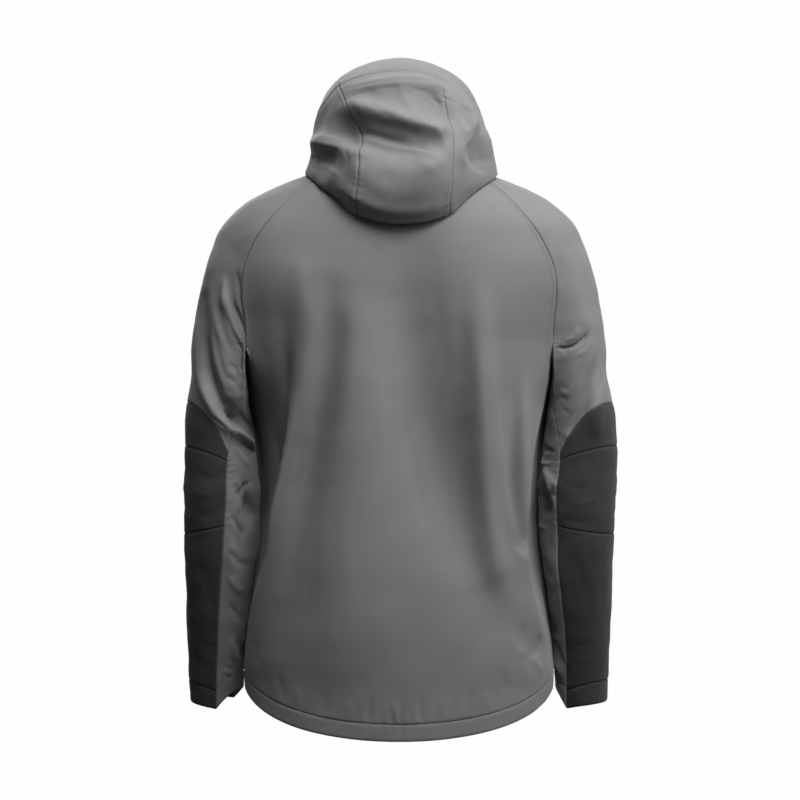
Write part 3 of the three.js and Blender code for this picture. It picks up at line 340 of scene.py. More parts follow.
# each row: face (1 back, -1 front), how wide, then x, z and height at its start, middle and end
BODY_FOLDS = rows_of("""
1 15.8 127.8 -136 4.5 135.4 -279 5.1 200.4 -477 6.9
1 46 148.7 -130 3.5 110 -225 -3 134.5 -340 -5
1 13 160 -150 -0.5 157 -205 -4 152 -262 -5
1 19.4 85.7 -130 0.2 101.4 -290 -13.3 143.8 -503 -2.6
1 60.6 32.5 -156 -1.1 63.5 -343 14.7 50.7 -557 10.7
1 51.7 -12 -120 -10 -41.9 -330 -21.2 -114.3 -530 -6.5
1 18 -108.1 -170 5.7 -110.4 -317 15.8 -127.7 -503 7.9
1 10 -154.1 -270 -1.7 -155.3 -343 -5.2 -150.3 -430 -0.8
1 9.5 -168.7 -290 4.7 -163.8 -383 12.1 -170.8 -477 -4.7
1 41.4 132 -397 -2.2 92.7 -503 3.9 92.8 -610 6.1
1 20.8 -120.2 -450 2.2 -143.1 -544 3.4 -190.1 -624 -5.3
-1 18 204 -245 3 204 -295 4.5 204 -345 3
-1 18 -204 -235 3 -204 -280 4.5 -204 -345 3
-1 18 202 -560 1 204 -590 2.5 206 -630 2.5
-1 18 -202 -560 1 -204 -590 3 -206 -630 3
-1 26 105 -200 3.6 115 -380 6 125 -560 2.4
-1 28 -105 -220 3.6 -112 -400 6 -118 -580 2.4
-1 22 62 -240 -2.4 67 -380 -4 72 -520 -1.6
-1 24 -60 -180 -2.4 -65 -320 -4 -70 -460 -1.6
""")
SLEEVE_FOLDS = rows_of("""
1 8 267 -154 -5 258 -245 -13 226 -314 -8
1 8 276 -210 2 259 -288 7 223 -333 7
1 6 235 -136 4 229 -180 10 205 -225 6
1 6.5 224 -150 -3 215 -184 -10 205 -208 -4
1 7 228 -300 -4 216 -320 -10 192 -345 -4
1 7 222 -325 1 209 -345 8 196 -357 2
1 9 222 -401 -1 207 -428 -8 195 -455 -4
1 11 221 -498 5 224 -568 3 215 -615 2
1 20 245 -192 1 232 -233 5 223 -276 5
1 6 -252 -201 -3 -242 -220 -11 -217 -224 -6
1 11 -278 -194 -2 -260 -271 -5 -224 -338 -4
1 15 -234 -239 2 -228 -272 5 -218 -308 4
1 11 -262 -200 3 -266 -262 8 -266 -323 5
1 10 -226 -340 3 -207 -368 -4 -200 -400 2
1 9 -214 -409 2 -199 -430 -8 -198 -492 -4
1 12 -214 -510 4 -221 -560 4 -219 -616 2
-1 15 262 -330 -4.2 237 -351 -7 212 -372 -2.8
-1 15 258 -400 -3.6 231 -412 -6 205 -425 -2.4
-1 13 250 -365 3 228 -381 5 205 -398 2
-1 15 -262 -345 -4.2 -237 -362 -7 -212 -380 -2.8
-1 15 -256 -415 -3.6 -230 -428 -6 -205 -440 -2.4
-1 13 -250 -380 3 -228 -395 5 -205 -410 2
""")
HOOD_FOLDS = rows_of("""
1 39.5 80.5 76.9 -19 3 60 -27.3 -43 77.9 -15.7
1 14.1 54.7 99.9 17.1 -43.3 75.2 17.4 -41.5 79.9 10.7
1 13.7 72.8 33.1 5.8 11 1.4 -3.3 -39.6 20 6
1 20.3 119 23.7 -10.2 107.7 29.9 -11 83.1 63.5 -9.2
1 10.4 127.8 73.2 2.7 108.1 56.9 11.8 57.4 42.2 6.4
1 16.5 -98.4 60.9 0.5 -111.4 42.6 -10.7 -113.8 13.8 -9.2
1 8.2 -101.5 29.3 -1.2 -111.9 14.7 2 -122.3 -2 1.9
1 10.7 106 17.2 -4.4 118.6 -18.1 -1.2 75.4 -15.3 -1.3
1 10 87 123.4 -0.3 -39.2 133.7 12.3 -69 90.2 1.2
1 7 -78.5 134.3 5.8 -99.8 91.8 10.5 -97.3 73.9 4.6
1 10.4 86.1 0.1 6 4 -47.7 13 -82.7 -29.5 -0.3
""")


def through(start, middle, end, t):
    """The quadratic that is start at t = 0, middle at t = 1/2 and end at t = 1."""
    return start * (1 - t) * (1 - 2 * t) + middle * 4 * t * (1 - t) + end * t * (2 * t - 1)


def fold_height(folds, x, y, z):
    """How far the folds move the cloth out. Each follows the quadratic through its three points, as eight
    short straight steps. Its height is a bell curve of the distance from the nearest of them, fading past
    its ends, and to nothing where the cloth turns to the side or comes to an armhole's corner."""
    total = np.zeros(np.shape(x))
    for face, wide, x0, z0, high0, x1, z1, high1, x2, z2, high2 in folds:
        ends = np.array([(x0, z0), (x1, z1), (x2, z2)])[:, None]
        line = through(*ends, np.linspace(0, 1, FOLD_STEPS + 1)[:, None])
        best, high = np.full(np.shape(x), 1e12), np.zeros(np.shape(x))
        for i, (a, b) in enumerate(zip(line[:-1], line[1:])):
            way = b - a
            share = ((x - a[0]) * way[0] + (z - a[1]) * way[1]) / (way @ way)
            held = np.clip(share, 0, 1)
            away = (x - a[0] - held * way[0]) ** 2 + (z - a[1] - held * way[1]) ** 2
            beyond = (i == 0) & (share < 0) | (i == FOLD_STEPS - 1) & (share > 1)
            past = np.where(beyond, (share - held) ** 2 * (way @ way), 0)
            bell = np.exp(-(away - past) / wide**2 - past / (FOLD_TAIL * wide) ** 2)
            closer = away < best
            high = np.where(closer, bell * through(high0, high1, high2, (i + held) / FOLD_STEPS), high)
            best = np.where(closer, away, best)
        total += ease(face * y / SIDE_FADE) * high
    to_corner = np.hypot(np.abs(x) - CORNER_X, z - ARMHOLE_FOOT)
    return total * ease(to_corner / CALM - 0.2)


# beyond an edge down each side of the back, the cloth drops away towards the sleeve
tuck = curves(named("""
z leftX leftDrop rightX rightDrop
-680 214 0 210 0
-630 208 4 200 4
-575 201 20 189 12
-520 189 36 180 24
-465 175 42 174 28
-410 163 42 179 26
-355 152 34 184 22
-300 143 20 194 12
-250 138 7 202 3
-214 134 0 205 0
"""), "z")
EDGE_SOFT, DROP_FRONT, DROP_WAY = 16, 15, 80


def side_drop(side, x, y, z):
    """How far the back's side lies inwards: nothing inside the edge, and the drop beyond it, by a soft
    step, fading where the cloth turns to the side."""
    name = "left" if side > 0 else "right"
    beyond = ease((x - tuck[name + "X"](z)) / EDGE_SOFT)
    return tuck[name + "Drop"](z) * beyond * ease((y + DROP_FRONT) / DROP_WAY)


STEP = 1e-3


def outward(surface, column, level, top, turn):
    """The surface's outward normal: the cross product of a small step along it and one across it. A surface
    whose top is 1 ends there, and at the join at level 1 the normal is that from just above."""
    at = np.where((top > 1) & (np.abs(level - 1) < STEP), 1 + 2 * STEP, level)
    low, high = at - STEP, np.where(at > top, at + STEP, np.minimum(at + STEP, top))
    across = surface(column + STEP, level) - surface(column - STEP, level)
    normal = np.cross(surface(column, high) - surface(column, low), across) * turn
    return normal / np.maximum(np.linalg.norm(normal, axis=-1, keepdims=True), 1e-9)


def body_surface(side):
    """The body with its folds on one side of the middle: the plain point moved along its normal by the
    folds' height, which fades under the arm."""

    def at(column, level):
        p = body_plain(column, level)
        inside = (column > 1) & (column < 2)
        normal = outward(body_plain, column, level, np.where(inside, 1, 2), 1)
        under = np.where(inside, np.sin(np.pi * (column - 1)), 0)
        calm = mix(1, ease((ARMHOLE_FOOT - p[..., 2]) / CALM), under)
        high = fold_height(BODY_FOLDS, side * p[..., 0], p[..., 1], p[..., 2]) * calm
        high = high - side_drop(side, p[..., 0], p[..., 1], p[..., 2]) * calm
        return (p + normal * high[..., None]) * [side, 1, 1]

    return at


def sleeve_surface(side):
    """The sleeve with its folds. Over the shoulder it takes the body's folds, so that the raglan seam stays
    closed, and its own fade out towards that seam."""

    def plain(column, level):
        return sleeve_plain(side, column, level)

    def at(column, level):
        column, level = spread(column, level)
        p = plain(column, level)
        turn = np.mod(column, 2)
        normal = outward(plain, column, level, np.where(turn <= 1, 2, 1), 1)
        below = ease((ARMHOLE_FOOT - p[..., 2]) / CALM)
        from_seam = np.where(turn <= 1, ease(np.minimum(turn, 1 - turn) * SEAM_CALM), 0)
        under = np.where((turn > 1) & (level <= 1), np.sin(np.pi * (turn - 1)), 0)
        place = (side * p[..., 0], p[..., 1], p[..., 2])
        own = fold_height(SLEEVE_FOLDS, *place) * mix(from_seam, 1, below)
        shared = fold_height(BODY_FOLDS, *place) * (1 - below) * (1 - under)
        return (p + normal * (own + shared)[..., None]) * [side, 1, 1]

    return at


def both_sides(make):
    """One surface over the middle: columns above 0 are the left side's, below 0 the right side's."""
    left, right = make(1), make(-1)

    def at(column, level):
        column, level = spread(column, level)
        return np.where((column >= 0)[..., None], left(np.abs(column), level), right(np.abs(column), level))

    return at


whole_body = both_sides(body_surface)


def front_surface(column, level):
    """The body, with its front edges moved aside for the zip: by nothing at the armhole's corner and by
    half the zip at the front's edge, as the square of the way."""
    p = whole_body(column, level)
    share = np.clip(np.abs(column) - 2, 0, 1)
    p[..., 0] += np.sign(column) * ZIP_HALF * share**2
    return p


print("folds on the body, the sleeves and the hood:", len(BODY_FOLDS), len(SLEEVE_FOLDS), len(HOOD_FOLDS))

# %% [markdown]
# ## The hood and the collar
#
# The hood has slumped back, so its rings fan out from the loose lower edge, over the back of the
# head, to the face opening. Its loose edge lies on the shoulders, so it asks the shoulders for
# their height. Below that edge the cloth turns in to the neck seam.

# %% The rings of the hood and the collar
HOOD = named("""
fan endY endZ topY topZ half lean saddle left right
0 -86 -42 130 -54 132 -4 1 27 -28
0.06 -87 -37 143 -38 131 -4 0.99 27 -29
0.13 -88 -31 153 -17 129.5 -4 0.95 27.5 -31
0.22 -89 -24 159 9 127 -4 0.88 28 -33
0.32 -90 -17 158 37 125 -3 0.78 29 -35
0.42 -91 -10 150 63 123 -1 0.66 30 -37
0.5 -92 -5 141 84 121.5 0 0.54 32 -36
0.58 -92 1 131 104 120 0 0.42 36 -33.5
0.66 -93 6 117 123 118.5 0 0.31 40 -30.5
0.74 -93 11 97 143 117 0 0.2 43.5 -27.5
0.8 -94 15 78 155 115.5 0 0.13 45.5 -26
0.87 -94 19 53 167 114 0 0.07 47 -24.5
0.94 -94 24 26 177 112.5 0 0.03 48.5 -23
1 -94 28 2 182 110.5 1 0 50 -22
""")
hood = curves(HOOD, "fan")
LOOSE = {name: values[0] for name, values in HOOD.items()}
HOOD_SWEEP, HOOD_EDGE_RISE, HOOD_REST, HOOD_TUCK, TUCK_LIFT, BRIM = 164 * DEG, 55, 2.2, 0.12, 3.5, 0.8
WALL, FOLDED_WALL = 1.6, 2.4


def shoulder_height(x, y):
    """Height of the shoulders at a place seen from above: the ring that passes through it, found by halving
    the range of rings 30 times."""
    low, high = np.zeros(np.shape(x)), np.ones(np.shape(x))
    for _ in range(30):
        rise = (low + high) / 2
        half, depth = yoke["half"](rise), np.where(y > 0, yoke["back"](rise), yoke["front"](rise))
        angle = np.arctan2(np.abs(x) / half, y / depth)
        ring = yoke_ring(angle, rise)
        outside = np.hypot(x / half, y / depth) < np.hypot(ring[..., 0] / half, ring[..., 1] / depth)
        low, high = np.where(outside, rise, low), np.where(outside, high, rise)
    return yoke_ring(angle, low)[..., 2]


SWEEP = np.linspace(-200, 200, 801) * DEG
SWEEP_SHARE = (np.cos(SWEEP) - np.cos(HOOD_SWEEP)) / (1 - np.cos(HOOD_SWEEP))
LYING = shoulder_height(LOOSE["half"] * np.sin(SWEEP), mix(LOOSE["endY"], LOOSE["topY"], SWEEP_SHARE))
LYING = LYING + HOOD_REST + WALL


def hood_ring(column, ring):
    """A ring of the hood above its loose edge: part of a circle seen from above, from one side of the zip
    round the back, tilted from its ends' height to its top's. Columns 0 to 1 are the left side, 1 to 2 the
    middle, 2 to 3 the right side."""
    left, right = hood["left"](ring) * DEG, hood["right"](ring) * DEG
    later = np.where(column > 2, mix(right, -HOOD_SWEEP, column - 2), mix(left, right, column - 1))
    angle = np.where(column > 1, later, mix(HOOD_SWEEP, left, column))
    end = np.cos(HOOD_SWEEP)
    share = (np.cos(angle) - end) / (1 - end)
    x = hood["half"](ring) * np.sin(angle) + hood["lean"](ring)
    y = mix(hood["endY"](ring), hood["topY"](ring), share)
    level = mix(hood["endZ"](ring), hood["topZ"](ring), share)
    flat = mix(LOOSE["endZ"], LOOSE["topZ"], share)
    rest = np.interp(angle, SWEEP, LYING)
    free = LOOSE["topZ"] + HOOD_EDGE_RISE * np.sin(angle) ** 2
    edge = np.where(np.cos(angle) > 0, np.maximum(rest, free), rest)
    return np.stack([x, y, level + hood["saddle"](ring) * (edge - flat)], -1)


def hood_plain(column, ring):
    """The hood without folds. Below ring 0 the cloth turns in from the lowest roll, straight to the neck
    seam, just over the shoulders."""
    column, ring = spread(column, ring)
    p = hood_ring(column, np.maximum(ring, 0))
    tucked = ring < 0
    if tucked.any():
        share = np.clip(-ring[tucked] / HOOD_TUCK, 0, 1)
        roll = p[tucked]
        angle = np.arctan2(roll[:, 0] / LOOSE["half"], roll[:, 1] / LOOSE["topY"])
        clear = 4 * SEAM_GAP
        x, y = oval(NECK["half"] + clear, NECK["back"] + clear, NECK["front"] + clear, NECK["square"], angle)
        x, y = mix(roll[:, 0], x, share), mix(roll[:, 1], y, share)
        rest = shoulder_height(x, y) + HOOD_REST + TUCK_LIFT * np.sin(np.pi * share)
        p[tucked] = np.stack([x, y, np.maximum(rest, mix(roll[:, 2], rest, share))], -1)
    return p


def hood_surface(column, ring):
    """The hood with its folds, which fade towards its loose edge."""
    p = hood_plain(column, ring)
    normal = outward(hood_plain, column, ring, 1, -1)
    high = ease(np.asarray(ring) / HOOD_CALM) * fold_height(HOOD_FOLDS, p[..., 0], p[..., 1], p[..., 2])
    return p + normal * high[..., None]


COLLAR_LEAN = -5, -4, 6  # its edge goes in at the sides and the back, and out at the front
COLLAR_TALL = 62, 68, 60  # at the back, the front and the sides


def collar_surface(side):
    """The standing collar on one side: the neck's oval, leaning a little as it rises. Column 0 is the
    back's middle and 1 the zip, level 0 the neck seam and 1 the edge."""

    def at(column, level):
        angle = np.pi * column
        back = np.cos(angle) > 0
        leans = zip(("half", "back", "front"), COLLAR_LEAN)
        x, y = oval(*(NECK[name] + lean * level for name, lean in leans), NECK["square"], angle)
        s = np.sin(angle) ** 2
        foot = mix(np.where(back, NECK["backZ"], NECK["frontZ"]), NECK["sideZ"], s)
        tall = mix(np.where(back, *COLLAR_TALL[:2]), COLLAR_TALL[2], s)
        return np.stack([side * x, y, foot + SEAM_GAP + tall * level], -1)

    return at


collar = both_sides(collar_surface)
print("the hood's top is at", hood_plain(1.5, 1.0).round(1))

# %% [markdown]
# ## The cloth's materials
#
# The jacket's face fabric is a dull polyester weave of threads about 0.35 mm apart. Up close it
# shows a fine grain; from a step away it is an even grey with a faint sheen at its edges. The
# panels on the forearms are a tougher, nearly black fabric, flatter and rougher. Each finish is a
# Principled shader with a little colour variation and a weave as bump, read from the cloth's own
# UV map, which is in metres along the cloth, so the weave follows every panel.

# %% Colours and nodes
def linear(code):
    """A colour from its sRGB hex code: each channel c becomes c / 12.92 below 0.04, and otherwise ((c +
    0.055) / 1.055) ^ 2.4."""
    c = np.array([int(code[i : i + 2], 16) for i in (0, 2, 4)]) / 255
    return (*np.where(c < 0.04045, c / 12.92, ((c + 0.055) / 1.055) ** 2.4).tolist(), 1)


def node(tree, kind, settings=(), **links):
    """Adds a node, sets its properties or input values, and links sockets into its inputs."""
    made = tree.nodes.new(kind)
    for name, value in dict(settings).items():
        if hasattr(made, str(name)):
            setattr(made, name, value)
        else:
            made.inputs[name].default_value = value
    for name, socket in links.items():
        tree.links.new(socket, made.inputs[int(name[1:]) if name[1:].isdigit() else name.replace("_", " ")])
    return made


def finish_named(name):
    """A new material with an empty tree and its output."""
    material = bpy.data.materials.new(name)
    material.use_nodes = True
    material.node_tree.nodes.clear()
    return material, material.node_tree, node(material.node_tree, "ShaderNodeOutputMaterial")


print("mid grey 808080 is", round(linear("808080")[0], 3), "in linear light")

# %% Woven cloth
WAVE = 0.314159  # one wave of the Wave Texture is this long at scale 1
GRAIN, MOTTLE = 0.0021, 0.055  # metres, the size of the fine and of the broad spots


def woven(name, dark, light, thread, rough, sheen, depth):
    """Polyester weave: two crossed waves a thread apart as bump, a soft mottle of two colours, and a
    roughness that varies a little with it."""
    material, tree, output = finish_named(name)
    uv = node(tree, "ShaderNodeUVMap", {"uv_map": "cloth"}).outputs[0]
    bands = {"Scale": WAVE / thread, "Distortion": 0.6, "Detail Scale": 2.0}
    warp = node(tree, "ShaderNodeTexWave", {"bands_direction": "X", **bands}, Vector=uv).outputs[1]
    weft = node(tree, "ShaderNodeTexWave", {"bands_direction": "Y", **bands}, Vector=uv).outputs[1]
    weave = node(tree, "ShaderNodeMath", {"operation": "MULTIPLY"}, _0=warp, _1=weft).outputs[0]
    grain = node(tree, "ShaderNodeTexNoise", {"Scale": 1 / GRAIN, "Detail": 3.0}, Vector=uv).outputs[0]
    broad = node(tree, "ShaderNodeTexNoise", {"Scale": 1 / MOTTLE, "Detail": 2.0}, Vector=uv).outputs[0]
    mottle = node(tree, "ShaderNodeMix", {"Factor": 0.45}, _2=broad, _3=grain).outputs[0]
    colour = node(tree, "ShaderNodeMix", {"data_type": "RGBA", "clamp_factor": True}, _0=mottle)
    colour.inputs[6].default_value = linear(dark)
    colour.inputs[7].default_value = linear(light)
    rise = node(tree, "ShaderNodeMath", {"operation": "ADD"}, _0=weave, _1=grain).outputs[0]
    bump = node(tree, "ShaderNodeBump", {"Strength": 0.5, "Distance": depth}, Height=rise).outputs[0]
    span = {"From Min": 0.3, "From Max": 0.7, "To Min": rough - 0.04, "To Max": rough + 0.04}
    links = {
        "Base_Color": colour.outputs[2],
        "Roughness": node(tree, "ShaderNodeMapRange", span, Value=mottle).outputs[0],
        "Normal": bump,
    }
    looks = {"Specular IOR Level": 0.35, "Sheen Weight": sheen, "Sheen Roughness": 0.5}
    shader = node(tree, "ShaderNodeBsdfPrincipled", looks, **links)
    tree.links.new(shader.outputs[0], output.inputs[0])
    return material


# the real threads are about 0.35 mm apart, too fine to show, so they are drawn twice as far apart
# softshell: dull, even, with a faint sheen where it turns away
grey = woven("softshell_woven_grey", "6b6b6b", "7d7d7d", 0.0007, 0.8, 0.18, 0.00012)
# the tougher fabric of the forearms: nearly black, flat, a coarser grain
black = woven("softshell_woven_black", "2a2a2a", "363636", 0.0009, 0.86, 0.12, 0.00016)
# the zip's tape: a narrow ribbed weave, matte and nearly black
tape = woven("zip_tape_woven", "191a1c", "222325", 0.0008, 0.8, 0.1, 0.0001)
print("woven:", grey.name, black.name, tape.name)

# %% Thread, moulded plastic and metal
def plain_finish(name, code, rough, metal, grain, depth):
    """One colour with a fine grain as bump, from the object's own place."""
    material, tree, output = finish_named(name)
    place = node(tree, "ShaderNodeTexCoord").outputs["Object"]
    noise = node(tree, "ShaderNodeTexNoise", {"Scale": 1 / grain, "Detail": 2.0}, Vector=place).outputs[0]
    bump = node(tree, "ShaderNodeBump", {"Strength": 0.4, "Distance": depth}, Height=noise).outputs[0]
    span = {"To Min": rough - 0.06, "To Max": rough + 0.06}
    colour = node(tree, "ShaderNodeMix", {"data_type": "RGBA"}, _0=noise)
    colour.inputs[6].default_value = linear(code)
    colour.inputs[7].default_value = tuple(min(c * 1.25, 1) for c in linear(code))
    links = {
        "Base_Color": colour.outputs[2],
        "Roughness": node(tree, "ShaderNodeMapRange", span, Value=noise).outputs[0],
        "Normal": bump,
    }
    shader = node(tree, "ShaderNodeBsdfPrincipled", {"Metallic": metal}, **links)
    tree.links.new(shader.outputs[0], output.inputs[0])
    return material


# spun polyester thread, a touch lighter than the cloth that it sews
grey_thread = plain_finish("thread_spun_grey", "666666", 0.6, 0.0, 0.0004, 0.00003)
black_thread = plain_finish("thread_spun_black", "303030", 0.6, 0.0, 0.0004, 0.00003)
# acetal teeth and box, moulded, slightly glossy
moulding = plain_finish("acetal_moulded_black", "1b1c1e", 0.42, 0.0, 0.0006, 0.00002)
# zinc slider and tab, cast and coated dark
metal = plain_finish("zinc_cast_dark", "46474a", 0.36, 0.85, 0.0005, 0.00002)
print("plain:", grey_thread.name, black_thread.name, moulding.name, metal.name)

# %% [markdown]
# ## Fine relief: seams, puckers and creases
#
# Where two panels are sewn, both edges turn down into the seam, so it reads as a dark line. The
# thread draws the cloth up a little, and leaves small uneven puckers across the seam. Away from
# seams the cloth is not quite smooth either. All of this is worked out as a height above the
# panel's surface, as a sum of simple shapes, so that the same lines serve every panel.

# %% Heights of seams, creases and unevenness
ALLOWANCE, TOP_STITCH, TOP_STITCH_WIDE = 9, 7, 0.9


def seam_line(at, way, deep=1.3, wide=1.5, pucker=0.3, pitch=12, reach=9, raised=0.0):
    """Height near a seam. gap is the distance to the seam's point at(column, level). The groove is deep
    times a bell curve of gap; the seam allowance beneath it lifts the next 6 mm by raised, and the
    top-stitching draws it in again 7 mm out; the puckers are waves of uneven length along the seam, fading
    with gap."""

    def height(surface, p, column, level):
        gap = np.linalg.norm(p - surface(*at(column, level)), axis=-1)
        s = way(column, level)
        wave = np.sin(2 * np.pi * s / pitch + 1.3 * np.sin(s / 37) + 0.9 * np.sin(s / 13.7))
        uneven = 0.6 + 0.4 * np.sin(s / 61 + 1)
        groove = bell(gap, wide)
        allowance = ease(gap / 2) * ease((ALLOWANCE - gap) / 2)
        lift = raised * (allowance - bell(gap - TOP_STITCH, TOP_STITCH_WIDE))
        return lift - deep * groove + pucker * uneven * wave * bell(gap, reach) * (1 - groove)

    return height


FACING = {"back": (0, 1.0, 0), "front": (0, -1.0, 0), "left": (1.0, 0, 0), "right": (-1.0, 0, 0)}
CREASE_STEPS, CREASE_REACH, CREASE_FADE, FACING_FADE = 14, 4, 0.33, 0.4


def read_creases(text):
    """A table of creases in text. A line with a colon says which way the creases below it face, and what
    they are. Each other line is one crease: how wide and how high, then its points, two numbers each. Where
    their count is odd, the third is the crease's lean."""
    rows = []
    for line in text.strip().splitlines():
        if ":" in line:
            face = line.split(":")[0]
            continue
        values = [float(value) for value in line.split()]
        lean = values.pop(2) if len(values) % 2 else 0
        rows.append((face, *values[:2], lean, np.array(values[2:]).reshape(-1, 2)))
    return rows


def crease_height(creases, p, normal):
    """How far the fine creases move the cloth. Each follows a smooth line through its points, given in the
    plane that it is seen in: from the back or front in x and z, from the side in y and z. It is a bell
    curve of the distance from that line, wider on one side by its lean, and fades over the last third of
    its length at both ends."""
    total = np.zeros(p.shape[:-1])
    for face, wide, high, lean, points in creases:
        along = running(np.hypot(*np.diff(points, axis=0).T))
        row = {"s": along, "a": points[:, 0], "z": points[:, 1]}
        s = np.linspace(0, along[-1], CREASE_STEPS)
        line = np.stack([curve(row, "s", "a")(s), curve(row, "s", "z")(s)], -1)
        a, z = p[..., 1] if face in ("left", "right") else p[..., 0], p[..., 2]
        low, top = line.min(0) - CREASE_REACH * wide, line.max(0) + CREASE_REACH * wide
        faces = normal @ FACING[face]
        near = (a > low[0]) & (a < top[0]) & (z > low[1]) & (z < top[1]) & (faces > 0)
        if not near.any():
            continue
        place = np.stack([a[near], z[near]], -1)[:, None]
        start, step = line[:-1], np.diff(line, axis=0)
        t = np.clip(((place - start) * step).sum(-1) / (step**2).sum(-1), 0, 1)
        offset = place - (start + t[..., None] * step)
        distance = np.linalg.norm(offset, axis=-1)
        best = distance.argmin(1)
        pick = np.arange(len(best))
        d, o = distance[pick, best], offset[pick, best]
        way = (best + t[pick, best]) / len(step)
        cross = np.sign(step[best, 0] * o[:, 1] - step[best, 1] * o[:, 0])
        width = wide * (1 + lean * cross * np.clip(d / wide, 0, 1))
        fade = ease(way / CREASE_FADE + 0.02) * ease((1 - way) / CREASE_FADE + 0.02)
        total[near] += high * bell(d, width) * fade * ease(faces[near] / FACING_FADE)
    return total


WAVES, BROAD, NARROW = 10, 55, 19


def uneven_height(p, size, high, seed):
    """Soft unevenness: a sum of ten waves in directions and phases drawn from a fixed seed, each about size
    long."""
    draw = np.random.default_rng(seed)
    ways = draw.normal(size=(WAVES, 3))
    ways *= (2 * np.pi / size * draw.uniform(0.6, 1.4, WAVES) / np.linalg.norm(ways, axis=1))[:, None]
    return high * np.sin(p @ ways.T + draw.uniform(0, 2 * np.pi, WAVES)).sum(-1) / np.sqrt(WAVES)


def row_seam(level, scale=230, shift=0, **sizes):
    """The seam along a row of the grid, at a level. scale turns a column into mm along it."""
    return seam_line(lambda c, l: (c, level), lambda c, l: c * scale + shift, **sizes)


def column_seam(column, scale, shift=0, **sizes):
    """The seam along a column of the grid. scale turns a level into mm along it."""
    return seam_line(lambda c, l: (column, l), lambda c, l: l * scale + shift, **sizes)


def relief(surface, p, normal, columns, levels, seams, creases, uneven):
    """The fine height of every point of a panel: the sum of its unevenness, its creases and its seams. A
    seam is one line on the surface, so it is worked out once for each row or column."""
    high = uneven_height(p, BROAD, uneven, 7) + uneven_height(p, NARROW, 0.25 * uneven, 8)
    high += crease_height(creases, p, normal)
    for seam in seams:
        high += seam(surface, p, columns[None], levels[:, None])
    return p + normal * high[..., None]


# %% [markdown]
# ## Cutting a panel
#
# A panel is a grid of points on its surface, finer near its seams, with a quad between each four.
# Its UV map is the distance along the cloth in metres. Two averages, like a smooth brush, take out
# the kinks of the rough form where the body meets the shoulders and under the armhole's corners.
# Solidify gives the thin sheet its wall on the inner side. Each panel stands in for the CAD node of
# its own shape, which is hidden.

# %% Grids and panels
def graded(start, end, count, ends=0.8):
    """count + 1 numbers from start to end that crowd towards both ends: an even step less one turn of a
    sine wave."""
    even = np.linspace(0, 1, count + 1)
    return start + (end - start) * (even - ends * np.sin(2 * np.pi * even) / (2 * np.pi))


def joined(*runs):
    """Runs of numbers that share their ends, as one."""
    return np.concatenate([runs[0], *[run[1:] for run in runs[1:]]])


SOFTEN_FADE, CORNER_SPAN, CORNER_FADE, CORNER_DOWN = 25, 32, 18, 30


def soften(p, levels, reach=14, span=45):
    """Takes out the slight kink where the body's rings meet the shoulders': within span of level 1, each
    point becomes the average of its column, weighted by a bell curve of the distance along it."""
    if not levels[0] < 1 < levels[-1]:
        return p
    s = running(lengths(p).mean(1))
    s -= np.interp(1, levels, s)
    weight = bell(s[:, None] - s, reach) * np.gradient(s)
    smooth = np.einsum("ij,jkc->ikc", weight / weight.sum(1, keepdims=True), p)
    return mix(p, smooth, ease((span - np.abs(s)) / SOFTEN_FADE)[:, None, None])


def round_corner(p, columns, levels, reach=11):
    """Rounds off the kink that runs down from the armhole's corner, at column 1 or -1: within 32 mm of it
    each point becomes the average of its row, weighted by a bell curve of the distance across, by a share
    that grows over 30 mm below the armhole's foot."""
    down = running(lengths(p).mean(1))
    below = ease((np.interp(1, levels, down) - down) / CORNER_DOWN)[:, None, None]
    for corner in (1, -1):
        if not columns.min() < corner < columns.max():
            continue
        s = running(lengths(p, 1).mean(0))
        order = np.argsort(columns)
        s = s - np.interp(corner, columns[order], s[order])
        weight = bell(s[:, None] - s, reach) * np.abs(np.gradient(s))
        smooth = np.einsum("ij,kjc->kic", weight / weight.sum(1, keepdims=True), p)
        p = mix(p, smooth, below * ease((CORNER_SPAN - np.abs(s)) / CORNER_FADE)[None, :, None])
    return p


grids = {}
NO_FINE = (), (), 0.0


def in_scene(name, mesh, material=None):
    """A new object of a mesh, linked into the scene."""
    if material:
        mesh.materials.append(material)
    made = bpy.data.objects.new(name, mesh)
    bpy.context.scene.collection.objects.link(made)
    return made


